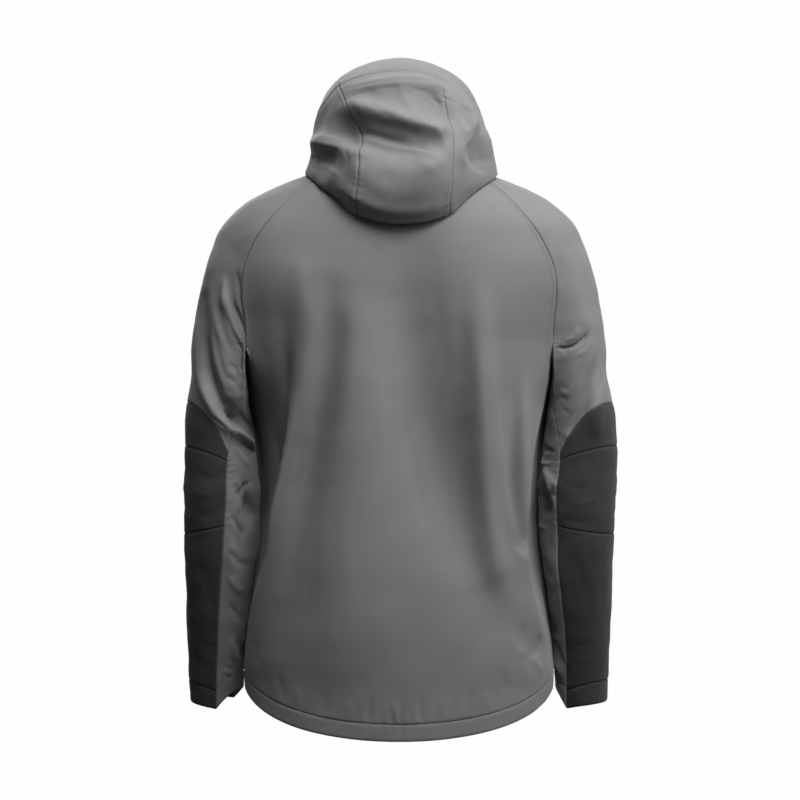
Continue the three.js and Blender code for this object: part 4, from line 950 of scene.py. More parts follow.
def cut_panel(
    name, replaces, surface, columns, levels, material, slot, inside,
    wall=WALL, keep=None, fine=NO_FINE, rounded=False,
):
    """A panel of cloth over a grid of columns and levels on a surface, with its fine relief, a UV map
    in metres and a wall from Solidify. It hides the CAD nodes that it replaces.
    """
    c, l = np.meshgrid(columns, levels)
    p = surface(c, l)
    rows, wide = c.shape
    index = np.arange(rows * wide).reshape(rows, wide)
    quads = np.stack([index[:-1, :-1], index[:-1, 1:], index[1:, 1:], index[1:, :-1]], -1)
    middle = (c[:-1, :-1] + c[1:, 1:]) / 2, (l[:-1, :-1] + l[1:, 1:]) / 2
    kept = np.ones(middle[0].shape, bool) if keep is None else keep(*middle)
    across, along = lengths(p, 1), lengths(p)
    u, v = running(across, 1), running(along)
    uv = np.stack([u - u[:, [wide // 2]], v], -1).reshape(-1, 2) / 1000
    normal = np.cross(np.gradient(p, axis=1), np.gradient(p, axis=0))
    normal /= np.maximum(np.linalg.norm(normal, axis=-1, keepdims=True), 1e-9)
    away = ((p - np.array(inside)) * normal).sum(-1)[:-1, :-1][kept].sum() > 0
    normal *= 1 if away else -1
    soft = soften(p, levels)
    if rounded:
        middle_of_back = ease((1 - np.abs(c)) / 0.15)[..., None]
        softer = soften(p, levels, reach=20, span=130)
        soft = round_corner(mix(soft, softer, middle_of_back), columns, levels)
    p = relief(surface, soft, normal, columns, levels, *fine)
    quads = quads[kept] if away else quads[kept][:, ::-1]
    used, corners = np.unique(quads, return_inverse=True)
    corners = corners.reshape(-1)
    mesh = bpy.data.meshes.new(name)
    mesh.vertices.add(len(used))
    mesh.vertices.foreach_set("co", (p.reshape(-1, 3)[used] / 1000).astype(np.float32).ravel())
    mesh.loops.add(len(corners))
    mesh.loops.foreach_set("vertex_index", corners.astype(np.int32))
    mesh.polygons.add(len(quads))
    mesh.polygons.foreach_set("loop_start", np.arange(0, len(corners), 4, dtype=np.int32))
    mesh.update(calc_edges=True)
    mesh.uv_layers.new(name="cloth").data.foreach_set("uv", uv[used][corners].astype(np.float32).ravel())
    mesh.shade_smooth()
    piece = in_scene(name, mesh, material)
    shell = piece.modifiers.new("wall", "SOLIDIFY")
    shell.thickness, shell.offset = wall / 1000, -1
    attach(piece, "garment")
    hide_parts(*replaces)
    grids[name] = p, normal, columns, levels


# %% [markdown]
# ## The back
#
# The back is one piece from the hem band to the neck. Its raglan seams run from the neck to the
# armholes, and its side seams go down from there under the arms.

# %% Creases of the body
BODY_CREASES = read_creases("""
back: the lit edge down the left
5 2 0.3 136 -268 146 -322 160 -389 179 -466 196 -546
back: beside it, a thin hollow
4 -1.2 127 -317 134 -370 146 -437
back: the fine ridge on the right
4.5 2.6 -0.3 -119 -196 -126 -268 -131 -338 -142 -423 -159 -498 -176 -544
5 -1.6 -112 -290 -119 -370 -131 -450 -147 -511
back: a small tuck at the sleeve
3 -2.2 -154 -478 -164 -489 -176 -494
3 1.2 -158 -491 -168 -501 -176 -511
back: soft drape between the shoulder blades
10 1 103 -71 109 -143 126 -252
9 -0.8 71 -156 81 -236 99 -330
9 -0.7 -43 -90 -52 -183 -67 -290
8 -0.8 -80 -156 -87 -223 -95 -303
10 0.6 33 -183 27 -276 20 -370
7 -0.9 -8 -317 -23 -397 -44 -483
8 0.8 65 -383 72 -477 63 -573
6 -0.8 108 -450 119 -530 124 -610
back: creases over the right corner of the hem
4 1.6 -176 -633 -186 -646 -196 -660
4 -1.8 -191 -605 -190 -624 -186 -642
5 -1.5 -167 -589 -166 -610 -160 -632
4 1.1 -152 -610 -162 -626 -175 -637
4 -1.2 -135 -648 -143 -669 -142 -688
back: short ones above the hem
4 -1 164 -658 158 -677 155 -698
4 0.9 143 -669 136 -685 135 -706
5 -0.9 103 -677 99 -696 100 -714
4 0.7 69 -688 67 -701 64 -717
4 -0.9 37 -682 40 -701 39 -720
5 0.8 9 -690 5 -704 4 -720
4 -1 -32 -680 -28 -698 -29 -720
4 0.8 -63 -685 -59 -701 -60 -717
5 -1 -96 -674 -92 -693 -95 -712
4 0.9 -120 -677 -116 -690 -119 -706
4 -0.9 196 -610 194 -630 195 -653
front: drape from the chest, and creases where the sleeves press
9 1.4 128 -190 118 -250 122 -330
8 -1.3 96 -230 90 -300 97 -380
9 1.2 55 -330 50 -420 58 -520
7 -1.1 140 -400 134 -470 142 -550
5 -1.6 176 -250 160 -268 138 -272
4 1.3 172 -282 156 -300 136 -306
5 -1 150 -610 146 -632 148 -655
4 0.8 92 -618 90 -640 93 -662
9 1.3 -122 -200 -112 -270 -118 -352
8 -1.2 -88 -250 -84 -330 -92 -410
9 1 -52 -300 -46 -390 -54 -500
7 -1.2 -146 -420 -138 -490 -144 -570
5 -1.5 -174 -262 -158 -276 -134 -282
4 1.2 -168 -300 -150 -312 -130 -320
5 -0.9 -120 -612 -118 -636 -121 -660
left: the sides, where the sleeves lie against the fronts
15 3.2 -20 -232 -24 -285 -24 -345
18 5 -22 -470 -24 -575 -20 -685
right: the same on the other side
15 3.4 -20 -205 -24 -275 -24 -372
18 5 -22 -470 -24 -575 -20 -685
front: one more above the hem
4 0.8 -60 -622 -62 -642 -59 -664
""")


SIDES = ("left", 1), ("right", -1)


def side_of(column):
    """1 on the wearer's left, where columns are above 0, and -1 on the right."""
    return np.where(column < 0, -1.0, 1.0)


def in_body(column, level):
    """A cell belongs to the body unless it is the sleeve's, which is above the armhole's foot between the
    corners."""
    return (level < 1) | (np.abs(column) < 1) | (np.abs(column) > 2)


raglan = {"deep": 2.0, "raised": 0.4}
body_seams = [
    seam_line(lambda c, l: (side_of(c), np.maximum(l, 1)), lambda c, l: l * 240, **raglan),
    seam_line(lambda c, l: (side_of(c) * 2, np.maximum(l, 1)), lambda c, l: l * 240 + 50, **raglan),
    seam_line(lambda c, l: (side_of(c) * 1.5, np.minimum(l, 1)), lambda c, l: l * 480, deep=0.5, pucker=0.15),
    row_seam(0.0, deep=0.9, wide=1.6, pucker=0.45, pitch=15, reach=16),
]
body_fine = (body_seams, BODY_CREASES, 0.25)
GREY, DARK = (grey, "grey_softshell"), (black, "dark_softshell")
# a point inside each part of the jacket, in mm, which that part's panels face away from
IN_TRUNK, IN_HEM, IN_COLLAR, IN_HOOD = (0, 0, -350), (0, 0, -700), (0, 0, 20), (0, 0, 60)
print("creases on the body:", len(BODY_CREASES))

# %% Cut the back
half_back = joined(graded(0, 1, 64, 0.7), graded(1, 1.5, 24))
body_levels = joined(graded(0, 1, 140, 0.6), graded(1, 2, 78, 0.5))
both = joined(-half_back[::-1], half_back)
cut_panel(
    "back_cloth", ["back_panel"], whole_body, both, body_levels, *GREY, IN_TRUNK,
    keep=in_body, fine=body_fine, rounded=True,
)

# %% [markdown]
# ## The fronts and the hem band
#
# The photo shows only the back, so the fronts are finished plainly: two panels that meet at the
# zip. The hem band is a folded strip along the bottom edge of the whole body.

# %% Cut the fronts and the hem band
half_front = joined(graded(1.5, 2, 24), graded(2, 3, 50, 0.7))
front_levels = joined(graded(0, 1, 116, 0.6), graded(1, 2, 60, 0.5))
for side_name, side in SIDES:
    cut_panel(
        f"front_cloth_{side_name}", [f"front_{side_name}"], front_surface, side * half_front, front_levels,
        *GREY, IN_TRUNK, keep=in_body, fine=body_fine,
    )
hem_half = np.unique(np.round(joined(graded(0, 1, 50, 0.3), graded(1, 2, 34, 0.0), graded(2, 3, 44, 0.3)), 9))
hem_columns = joined(-hem_half[::-1], hem_half)
hem_seams = [
    row_seam(0.0, deep=0.9, wide=1.6, pucker=0.35, pitch=15, reach=12),
    row_seam(-1.0, deep=1.0, wide=1.4, pucker=0.0),
]
cut_panel(
    "hem_cloth", ["hem_band"], front_surface, hem_columns, graded(-1, 0, 12, 0.6), *GREY, IN_HEM,
    wall=FOLDED_WALL, fine=(hem_seams, (), 0.4),
)

# %% [markdown]
# ## The sleeves
#
# Each sleeve is six pieces: the grey raglan top, the grey under-sleeve, and four dark pieces down
# the outer side: the upper panel with its curved edge, the elbow patch, the forearm and the cuff.

# %% Creases of the sleeves
SLEEVE_CREASES = read_creases("""
back: left sleeve, fine ones where the long trough ends
2.4 -1.6 245 -299 235 -309 226 -320
2.2 1.1 241 -295 231 -305 223 -313
2.4 -1.2 252 -312 241 -322 230 -331
2.4 -1 233 -290 226 -297 219 -301
back: left sleeve, puckers beside the back seam
2.6 -1.3 231 -241 223 -245 216 -250
2.4 -1.2 234 -259 226 -263 219 -268
2.4 1 234 -250 226 -254 218 -260
2.6 -1.1 237 -275 229 -279 222 -284
4 1.2 253 -154 246 -192 233 -224
back: left sleeve, the ridge at the armhole's corner, and the hollow beside it
3 2.4 235 -137 229 -173 218 -201 204 -223
3 -3 226 -154 216 -178 207 -204
2.4 -1.6 219 -211 212 -222 207 -230
3.6 -2.6 219 -110 215 -140 208 -178
5.5 -2.6 253 -184 245 -227 229 -279
8 -6.5 210 -380 208 -433 212 -483 216 -535
4 -1 241 -178 233 -208 222 -230
5 -1.2 261 -61 268 -102 269 -143
back: left under-sleeve, crumpled down to the cuff
3 -2.3 215 -241 210 -248 201 -250
3 -2.1 216 -271 208 -278 197 -279
3.2 -3.6 222 -301 207 -322 190 -346
3 2.9 223 -322 208 -339 190 -352
3 -2.6 219 -343 203 -356 186 -370
2.4 2.3 222 -352 212 -370 200 -385
3 -3.2 222 -422 212 -411 199 -399
4.5 3.2 220 -393 215 -418 216 -448
4 -3 208 -420 203 -446 205 -480
3.4 -2.4 229 -442 219 -461 205 -478
4 -2.6 233 -491 218 -510 201 -518
3 2.3 231 -527 222 -546 208 -554
4 -2.3 231 -565 222 -584 210 -592
3 2.6 231 -611 229 -633 224 -654
3 -2.3 224 -616 219 -633 218 -652
2.2 -1.3 241 -654 234 -659 226 -660
2.2 -1.2 244 -667 235 -671 229 -673
back: left dark panels
6 -0.9 280 -382 260 -396 235 -388
5 0.72 283 -410 261 -419 238 -411
6 -0.81 284 -437 263 -446 239 -435
7 -0.68 276 -502 263 -537 259 -578
6 0.59 252 -507 245 -548 248 -592
5 -0.59 280 -616 264 -627 246 -623
4 0.5 276 -637 263 -646 248 -644
back: right sleeve, the pleat at the armpit
2.2 -4.2 -260 -188 -252 -205 -234 -218 -208 -220
3.6 1.8 -244 -189 -237 -204 -222 -212
3.4 1.4 -265 -203 -252 -223 -233 -233
2.4 -1.4 -215 -216 -222 -222 -230 -227
back: right sleeve, drag lines to the elbow
1.6 -1.2 -265 -196 -259 -222 -246 -249 -230 -279
1.6 -1.2 -273 -201 -269 -235 -257 -271 -244 -295
3 1.2 -279 -208 -275 -244 -264 -279
1.5 -1.2 -279 -252 -272 -276 -260 -301
2.6 -1.8 -263 -284 -242 -317 -223 -352
3 1.3 -250 -263 -239 -293 -227 -317
5 1.2 -260 -86 -265 -127 -267 -167
back: right sleeve, puckers beside the back seam
2.4 -1.3 -218 -269 -223 -273 -231 -276
2.2 1 -218 -276 -223 -280 -230 -283
2.4 -1.2 -218 -284 -223 -288 -230 -291
2.4 -1.2 -219 -301 -224 -305 -233 -307
back: right under-sleeve, a bright fold between two deep hollows
3.6 4.2 -215 -342 -200 -371 -201 -393 -210 -420 -214 -448
4.5 -4.5 -195 -331 -192 -355 -200 -374
5 -4.5 -189 -396 -199 -418 -207 -445
4 -3.3 -189 -342 -200 -356 -214 -361
3 2.7 -188 -366 -199 -377 -211 -374
3.4 2.8 -200 -385 -208 -401 -204 -420
4 -3 -189 -412 -200 -431 -208 -453
3 2.4 -181 -445 -192 -461 -204 -469
4 -3 -186 -497 -200 -516 -210 -540
3 2.5 -199 -548 -207 -570 -212 -592
4 -2.7 -204 -586 -212 -605 -220 -619
3 3.6 -204 -619 -214 -646 -226 -676
3 -3 -210 -614 -222 -641 -229 -665
2.2 -1.3 -219 -676 -224 -682 -231 -684
back: right dark panels
6 -1 -219 -399 -245 -410 -275 -397
5 0.8 -218 -420 -245 -431 -275 -420
6 -0.9 -214 -445 -241 -456 -273 -448
4 -0.6 -224 -467 -246 -475 -269 -469
7 -0.8 -237 -502 -252 -546 -250 -592
6 0.65 -263 -516 -269 -562 -267 -605
5 -0.65 -234 -616 -250 -627 -273 -620
4 0.55 -235 -639 -254 -648 -275 -642
left: the outer side of the elbow
6 -0.99 34 -372 2 -388 -30 -384
5 0.81 40 -402 4 -412 -34 -406
6 -0.9 36 -432 0 -440 -36 -436
7 -0.63 22 -520 4 -560 -6 -610
7 0.59 -24 -190 -8 -240 4 -290
right: the outer side of the other elbow
6 -0.9 40 -378 6 -392 -26 -386
5 0.77 38 -410 2 -418 -36 -414
6 -0.9 34 -440 -2 -450 -38 -444
7 -0.63 18 -530 -2 -575 -14 -620
7 0.54 -20 -200 -6 -250 8 -300
front: the insides of the elbows, seen from the front
5 -2.6 288 -338 262 -356 228 -350
4 1.8 284 -360 258 -374 226 -370
5 -2.4 282 -382 256 -396 222 -388
4 1.6 276 -410 250 -418 218 -410
5 -1.8 272 -436 246 -446 216 -440
5 -2.6 -290 -346 -264 -366 -230 -358
4 1.8 -286 -370 -260 -384 -226 -378
5 -2.4 -282 -394 -256 -408 -222 -400
4 1.6 -276 -420 -250 -430 -218 -424
5 -1.8 -272 -448 -246 -458 -216 -450
""")


def across_seam(step, **sizes):
    """The seam across the sleeve at one of the steps of LEVELS."""
    return row_seam(level_of(step), 190, 31 * step, **sizes)


# node, piece, first and last step of LEVELS, first column, finish
SLEEVE_PANELS = [
    ("sleeve_top", "sleeve_top_cloth", 4, 6, 0, GREY),
    ("sleeve_under", "sleeve_under_cloth", 0, 5, 1, GREY),
    ("arm_panel", "arm_cloth", 3, 4, 0, DARK),
    ("elbow_patch", "elbow_cloth", 2, 3, 0, DARK),
    ("forearm_panel", "forearm_cloth", 1, 2, 0, DARK),
    ("cuff", "cuff_cloth", 0, 1, 0, DARK),
]
SLEEVE_ROWS = 12, 84, 50, 26, 64, 104  # grid rows from each step to the next
ARMHOLE_STEP, NECK_STEP = 5, 6
print("creases on the sleeves:", len(SLEEVE_CREASES))

# %% Cut the sleeves
for side_name, side in SIDES:
    surface = sleeve_surface(side)
    for node_name, name, first, last, c0, finish in SLEEVE_PANELS:
        seams = [column_seam(c0, 520, 70 * c0, pucker=0.5, reach=11)]
        seams += [column_seam(c0 + 1, 520, 70 * (c0 + 1), pucker=0.4, reach=10)]
        steps = [s for s in (first, last) if s != NECK_STEP and not (c0 == 1 and s == ARMHOLE_STEP)]
        seams += [across_seam(s, pucker=0.25, reach=7, deep=1.1) for s in steps]
        if c0 == 1:
            seams += [across_seam(1, pucker=0.3, reach=7, deep=0.6)]
        runs = [graded(level_of(s), level_of(s + 1), SLEEVE_ROWS[s], 0.4) for s in range(first, last)]
        columns = graded(c0, c0 + 1, 100 if c0 == 0 else 60, 0.8)
        inside = (side * 240, 0, -260 if first == 4 else -450)
        cut_panel(
            f"{name}_{side_name}", [f"{node_name}_{side_name}"], surface, columns, joined(*runs),
            *finish, inside, fine=(seams, SLEEVE_CREASES, 0.7),
        )

# %% [markdown]
# ## The collar and the hood
#
# The collar stands inside the hood, and is a folded band. The hood is three panels sewn along two
# seams, with a brim round its face opening.

# %% Creases of the hood
HOOD_CREASES = read_creases("""
back: the edge under the big hollow
3 2.6 0.3 68 57 37 55 15 47 -25 40 -62 29
3.4 -2.2 62 66 36 64 12 56 -20 49
back: the ridge above it
4 2 20 102 4 88 -23 78 -47 73 -58 61 -62 37
5 -1.8 52 85 20 77 -17 65 -47 53
4 -1.2 44 109 25 96 9 82
back: the left panel's creases
3.4 2.2 117 68 94 63 70 55
4 -2 117 51 97 45 76 43
3 -1.6 73 48 69 32 72 13
4 1.4 113 29 94 21 76 5
6 3.6 113 8 94 -5 70 -19
back: the right panel's hollow
3.4 -2.2 -96 59 -94 40 -100 25 -110 20 -126 13
3 1.6 -86 53 -86 32 -94 16
4 1.2 -76 93 -86 77 -94 59
back: the drawcord tunnel's two edges, and gathers between them
1.3 -1.3 92 120 77 129 43 134 -4 139 -45 138 -74 132 -92 120
1.3 -1.4 94 98 77 110 60 120 28 126 -4 128 -35 122 -65 113 -89 102 -108 88
2.6 0.8 72 120 36 130 -4 133 -41 130 -70 124
2 -1 49 130 43 125 31 122
2 -1 -49 133 -58 125 -70 120
2.4 -1.8 -40 118 -48 112 -56 104
2.4 1.2 -47 122 -56 114 -62 106
2.4 -1.5 -84 105 -92 97 -100 90
2.4 -1.2 58 125 45 120 29 120
2.4 1 9 133 -7 126 -25 128
3 -1.2 62 104 55 93 49 80
""")
hood_seams = [
    column_seam(1.0, 420, raised=0.4, pucker=0.4),
    column_seam(2.0, 420, 40, deep=0.7, raised=0.2, pucker=0.3),
    row_seam(BRIM, 170, pucker=0.35, deep=1.1),
    row_seam(1.0, 170, pucker=0.0, deep=1.2),
]
print("creases on the hood:", len(HOOD_CREASES))

# %% Cut the collar and the hood
ZIP_ANGLE = np.arcsin((ZIP_HALF + SEAM_GAP) / NECK["half"]) / np.pi
collar_half = graded(0, 1 - ZIP_ANGLE, 80, 0.3)
collar_seams = [row_seam(1.0, 300, deep=1.2, pucker=0.0)]
cut_panel(
    "collar_cloth", ["collar"], collar, joined(-collar_half[::-1], collar_half), graded(0, 1, 22, 0.6),
    *GREY, IN_COLLAR, wall=FOLDED_WALL, fine=(collar_seams, (), 0.4),
)
hood_fine = (hood_seams, HOOD_CREASES, 0.7)
hood_rows = joined(graded(-HOOD_TUCK, 0, 14, 0.0), graded(0, BRIM, 100, 0.4))
for c0, (name, count) in enumerate((("left", 76), ("middle", 60), ("right", 76))):
    node_name = "hood_middle" if name == "middle" else f"hood_side_{name}"
    columns = graded(c0, c0 + 1, count, 0.7)
    cut_panel(
        f"hood_{name}_cloth", [node_name], hood_surface, columns, hood_rows,
        *GREY, IN_HOOD, fine=hood_fine,
    )
columns = joined(graded(0, 1, 60, 0.5), graded(1, 2, 56, 0.5), graded(2, 3, 60, 0.5))
cut_panel(
    "brim_cloth", ["hood_brim"], hood_surface, columns, graded(BRIM, 1, 22, 0.7),
    *GREY, IN_HOOD, fine=hood_fine,
)

# %% [markdown]
# ## Top-stitching
#
# A sewing machine leaves a row of short stitches, each a little bead of thread that dips into the
# cloth at both ends. A softshell jacket has two rows beside each main seam. One stitch is a spindle
# of four sides; hundreds of copies are placed along a line as one array and joined into one mesh.

# %% Lines beside a seam
def along_line(at, s, values):
    """The values, given at the distances s along a line, at other distances along it."""
    return np.stack([np.interp(at, s, values[:, k]) for k in range(values.shape[1])], -1)


def at_distance(p, normal, far, inset):
    """Points and normals of a line: on each row the place where the distance far reaches inset."""
    i = np.clip((far < inset).sum(1) - 1, 0, far.shape[1] - 2)
    row = np.arange(len(i))
    t = ((inset - far[row, i]) / (far[row, i + 1] - far[row, i]))[:, None]
    return mix(p[row, i], p[row, i + 1], t), mix(normal[row, i], normal[row, i + 1], t)


def beside(name, edge, inset):
    """A line on a panel at a distance from one of its edges, which is its first or last column or level.
    The distance is summed up along each row from that edge."""
    p, normal, *_ = grids[name]
    if edge in ("first level", "last level"):
        p, normal = p.transpose(1, 0, 2), normal.transpose(1, 0, 2)
    if edge.startswith("last"):
        p, normal = p[:, ::-1], normal[:, ::-1]
    return at_distance(p, normal, running(lengths(p, 1), 1), inset)


def mesh_of_copies(name, points, faces):
    """One mesh of many copies of a small shape: points has a row for each copy, faces are those of one."""
    shift = points.shape[1] * np.arange(len(points))[:, None, None]
    mesh = bpy.data.meshes.new(name)
    every = (np.array(faces) + shift).reshape(-1, 4)
    mesh.from_pydata((points.reshape(-1, 3) / 1000).tolist(), [], every.tolist())
    return mesh


STITCH_DIP, STITCH_RISE, STITCH_END, LOOK_AHEAD = 0.1, 0.14, 0.08, 0.4


def sew(name, lines, material, pitch=3.0, long=2.3, thick=0.5):
    """Stitches along lines. Every pitch along a line there is a spindle: three rings of four points, small
    at its ends and thick in its middle, which stands just above the cloth."""
    every = []
    for p, normal in lines:
        s = running(lengths(p))
        at = np.arange(pitch, s[-1] - pitch / 2, pitch)
        centre, up = along_line(at, s, p), along_line(at, s, normal)
        way = along_line(at + LOOK_AHEAD, s, p) - centre
        way /= np.maximum(np.linalg.norm(way, axis=1, keepdims=True), 1e-9)
        aside = np.cross(way, up)
        centre, way, up, aside = (v[:, None, None] for v in (centre, way, up, aside))
        shift = np.array([-long / 2, 0, long / 2])[:, None, None] * way
        high = np.array([-STITCH_DIP, STITCH_RISE, -STITCH_DIP])[:, None, None] * up
        radius = np.array([STITCH_END, thick / 2, STITCH_END])[:, None, None]
        turn = (np.arange(4) * np.pi / 2 + np.pi / 4)[:, None]
        ring = np.cos(turn) * aside + np.sin(turn) * up
        every.append((centre + shift + high + radius * ring).reshape(-1, 12, 3))
    points = np.concatenate(every)
    sides = [(r + k, r + (k + 1) % 4, r + 4 + (k + 1) % 4, r + 4 + k) for r in (0, 4) for k in range(4)]
    mesh = mesh_of_copies(name, points, [*sides, (3, 2, 1, 0), (8, 9, 10, 11)])
    mesh.shade_smooth()
    piece = in_scene(name, mesh, material)
    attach(piece, "garment")
    print(f"{name}: {len(points)} stitches, {2 * len(mesh.polygons)} triangles")


# %% Sew the body
def at_column(name, column, offset):
    """The line above the armhole's foot at a distance from an inner column of a panel, towards larger
    columns."""
    p, normal, columns, levels = grids[name]
    keep = levels >= 1
    p, normal = p[keep], normal[keep]
    far = running(lengths(p, 1), 1)
    return at_distance(p, normal, far - far[:, [int(np.abs(columns - column).argmin())]], offset)


DOUBLE = 1.8, 7.0  # the two rows beside a seam, mm from it
lines = [at_column("back_cloth", side, -side * inset) for side in (1, -1) for inset in DOUBLE]
lines += [at_column(f"front_cloth_{name}", side * 2, side * i) for name, side in SIDES for i in DOUBLE]
lines += [beside(f"front_cloth_{name}", "last column", inset) for name, _ in SIDES for inset in (2.0, 8.0)]
lines += [beside("hem_cloth", "last level", 1.6)]
sew("stitches_body", lines, grey_thread)

# %% Sew the sleeves
BOTH_SEAMS = "first column", "last column"
grey_lines, black_lines = [], []
for side_name, _ in SIDES:
    dark = [f"{part}_cloth_{side_name}" for part in ("arm", "elbow", "forearm")]
    black_lines += [beside(n, edge, i) for edge in BOTH_SEAMS for i in DOUBLE for n in dark]
    black_lines += [beside(n, "last level", i) for n in dark for i in DOUBLE]
    black_lines += [beside(f"cuff_cloth_{side_name}", "last level", 1.8)]
    grey_lines += [beside(f"sleeve_under_cloth_{side_name}", "first level", 22.0)]
sew("stitches_dark", black_lines, black_thread)
sew("stitches_cuff", grey_lines, grey_thread)

# %% Sew the hood and the collar
lines = [beside("hood_middle_cloth", edge, i) for edge in BOTH_SEAMS for i in DOUBLE]
lines += [beside("brim_cloth", "first level", inset) for inset in DOUBLE]
lines += [beside("brim_cloth", "last level", 9.0), beside("collar_cloth", "last level", 7.0)]
sew("stitches_hood", lines, grey_thread)

# %% [markdown]
# ## The zip
#
# The chain is two narrow woven tapes with a row of moulded teeth on each, and closed teeth hook
# into each other in turn. The tape follows the front's middle line, which the CAD chain follows
# too; each tooth is a small block with a rounded head, copied along that line from left and right.

# %% The front's middle line
zip_levels = np.concatenate([[-1.0], np.linspace(0, 1, 70), np.linspace(1, 2, 50)[1:]])
below = front_surface(3 - STEP, zip_levels)
above = collar(1 - ZIP_ANGLE, np.linspace(0, 1, 20))[1:]
zip_line = np.concatenate([below, above])[:, 1:]
way = np.gradient(zip_line, axis=0)
way /= np.linalg.norm(way, axis=1, keepdims=True)
zip_length = lengths(zip_line).sum()
print("the zip is", round(zip_length), "mm long")

# %% The tape
TAPE_HALF, TAPE_BEHIND, TAPE_WALL = 3.55, 1.2, 0.8
rows = np.arange(len(zip_line), dtype=float)


def tape_surface(column, level):
    """The tape: the middle line's point at level, moved aside by column and set just behind the fronts."""
    y, z = (np.interp(level, rows, zip_line[:, k]) for k in (0, 1))
    return np.stack([column + 0.0 * y, y + TAPE_BEHIND, z], -1)


cut_panel(
    "zip_tape_cloth", ["zip_chain"], tape_surface, np.linspace(-TAPE_HALF, TAPE_HALF, 9), rows,
    tape, "zip_tape", IN_TRUNK, wall=TAPE_WALL,
)

# %% The teeth
# a tooth seen from the front, mm from the chain's middle and along it: a narrow neck and a wider head
half_tooth = np.array([(-2.6, -0.55), (-0.2, -0.55), (0.5, -0.8), (1.05, -0.55)])
tooth = np.concatenate([half_tooth, half_tooth[::-1] * [1, -1]])
TOOTH_PITCH, FIRST_TOOTH, LAST_TOOTH = 2.6, 14, 8  # mm: along one tape, and from the zip's two ends
places = np.arange(FIRST_TOOTH, zip_length - LAST_TOOTH, TOOTH_PITCH / 2)
s = running(lengths(zip_line))
middle, tangent = (along_line(places, s, values)[:, None, None] for values in (zip_line, way))
hand = np.where(np.arange(len(places)) % 2 == 0, 1.0, -1.0)[:, None, None]
back_and_front = np.array([-0.55, 1.0])[:, None]
x = -hand * tooth[:, 0]
y = middle[..., 0] + back_and_front + tangent[..., 0] * tooth[:, 1]
z = middle[..., 1] + tangent[..., 1] * tooth[:, 1]
teeth = np.stack(np.broadcast_arrays(x, y, z), -1).reshape(-1, 16, 3)
ends = [(0, 1, 6, 7), (1, 2, 5, 6), (2, 3, 4, 5)]
one = ends + [tuple(8 + k for k in reversed(face)) for face in ends]
one += [(k, k + 8, (k + 1) % 8 + 8, (k + 1) % 8) for k in range(8)]
mesh = mesh_of_copies("zip_teeth", teeth, one)
zip_teeth = in_scene("zip_teeth", mesh, moulding)
turned = bmesh.new()
turned.from_mesh(mesh)
bmesh.ops.recalc_face_normals(turned, faces=turned.faces)
turned.to_mesh(mesh)
turned.free()
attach(zip_teeth, "garment")
print("teeth:", len(teeth), "triangles:", 2 * len(mesh.polygons))

# %% [markdown]
# ## The slider, its tab and the box
#
# These are hard parts, and the CAD's own solids have their true shape. They stay, with a softened
# edge from a Bevel modifier and their own finish. The tab rides on its own body, because it swings.

# %% Finish the hard parts
for name, material, slot in (
    ("zip_slider", metal, "zip_metal"),
    ("pull_tab", metal, "zip_metal"),
    ("zip_box", moulding, "zip_moulding"),
):
    part = frame["nodes"][name]
    part.data.materials.clear()
    part.data.materials.append(material)
    edge = part.modifiers.new("edge", "BEVEL")
    edge.width, edge.segments, edge.limit_method = 0.00012, 2, "ANGLE"
    print(name, "keeps its CAD shape")

# %% [markdown]
# ## Room, light and camera
#
# The floor and the wall behind are one pale sweep of paper, which is clear from behind, so that
# the front can be looked at too. The light is five soft boxes, as in a studio for clothes: two to
# the right of the camera, one above it, one overhead, and one on the other side that lights the
# front. The camera looks at the back of the jacket, level with its middle.

# %% The paper sweep
# the floor takes the first half of the sheet's length, the bend the next fifth, the wall the rest
SHEET, BEND, FLOOR = 14, 1.2, -1.1  # metres: the sheet's length, the bend's radius, the floor's height
u, v = np.meshgrid(np.linspace(-6, 6, 5), np.linspace(0, 1, 40))
turn = np.clip((v - 0.5) / 0.2, 0, 1) * np.pi / 2
run = np.where(v < 0.5, 5 - SHEET * v, -2 - BEND * np.sin(turn))
rise = np.where(v < 0.7, BEND * (1 - np.cos(turn)), BEND + SHEET * (v - 0.7))
sweep = np.stack([u, run, FLOOR + rise], -1).reshape(-1, 3)
index = np.arange(u.size).reshape(u.shape)
quads = np.stack([index[:-1, :-1], index[1:, :-1], index[1:, 1:], index[:-1, 1:]], -1).reshape(-1, 4)
mesh = bpy.data.meshes.new("paper_sweep")
mesh.from_pydata(sweep.tolist(), [], quads.tolist())
mesh.shade_smooth()
paper, tree, output = finish_named("paper_matte_white")
glow = node(tree, "ShaderNodeEmission", {"Color": linear("fefefe"), "Strength": 1.0})
behind = node(tree, "ShaderNodeNewGeometry").outputs["Backfacing"]
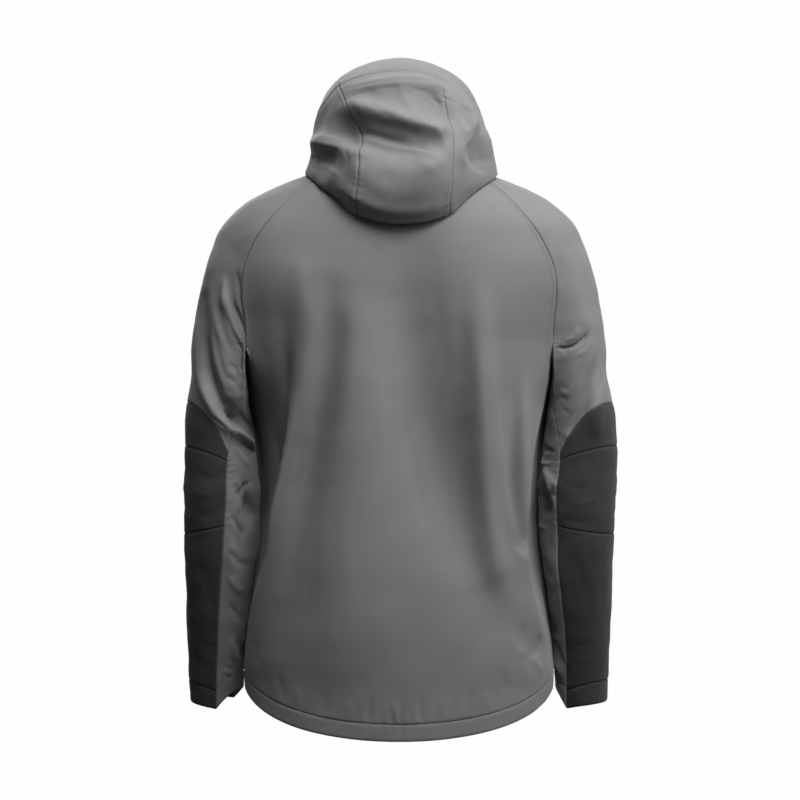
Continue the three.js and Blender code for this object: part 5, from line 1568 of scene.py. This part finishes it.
clear = node(tree, "ShaderNodeBsdfTransparent").outputs[0]
sheet = node(tree, "ShaderNodeMixShader", _0=behind, _1=glow.outputs[0], _2=clear)
tree.links.new(sheet.outputs[0], output.inputs[0])
floor = in_scene("paper_sweep", mesh, paper)
floor.visible_diffuse = floor.visible_glossy = floor.visible_shadow = False
print("sweep from", sweep.min(0), "to", sweep.max(0))

# %% Soft boxes and the room's own light
def soft_box(name, place, target, wide, tall, power):
    """A rectangular area light at a place that faces a target."""
    lamp = bpy.data.lights.new(name, "AREA")
    lamp.shape, lamp.size, lamp.size_y, lamp.energy = "RECTANGLE", wide, tall, power
    made = in_scene(name, lamp)
    made.location = place
    made.rotation_euler = (Vector(target) - Vector(place)).to_track_quat("-Z", "Y").to_euler()
    print(name, "gives", power, "W")


soft_box("key_box", (-2.5, 2.1, 1.2), (0, 0, -0.25), 1.2, 1.2, 27)
soft_box("side_box", (-2.0, 0.8, 1.6), (0, 0, -0.2), 1.0, 1.0, 33)
soft_box("top_box", (-0.5, 1.5, 1.6), (0, 0, -0.2), 1.0, 0.8, 43)
soft_box("roof_box", (0, 0.6, 2.8), (0, 0, -0.2), 3.0, 2.6, 55)
soft_box("front_box", (0.6, -3.2, 1.4), (0, 0, -0.3), 2.0, 1.6, 70)
world = bpy.data.worlds.new("studio")
world.use_nodes = True
background = world.node_tree.nodes["Background"].inputs
background["Color"].default_value, background["Strength"].default_value = linear("e2e2e2"), 0.12
bpy.context.scene.world = world
bpy.context.scene.view_settings.view_transform = "Standard"

# %% The camera
SENSOR, DISTANCE, PICTURE_WIDE = 36, 3550, 1104  # mm; the picture's width is measured at the jacket
lens = bpy.data.cameras.new("camera")
lens.sensor_width, lens.lens = SENSOR, SENSOR * DISTANCE / PICTURE_WIDE
camera = in_scene("camera", lens)
camera.location = (-0.00138, DISTANCE / 1000, -0.2898)
camera.rotation_euler = (np.pi / 2, 0, np.pi)
bpy.context.scene.camera = camera
print("lens:", round(lens.lens, 1), "mm")
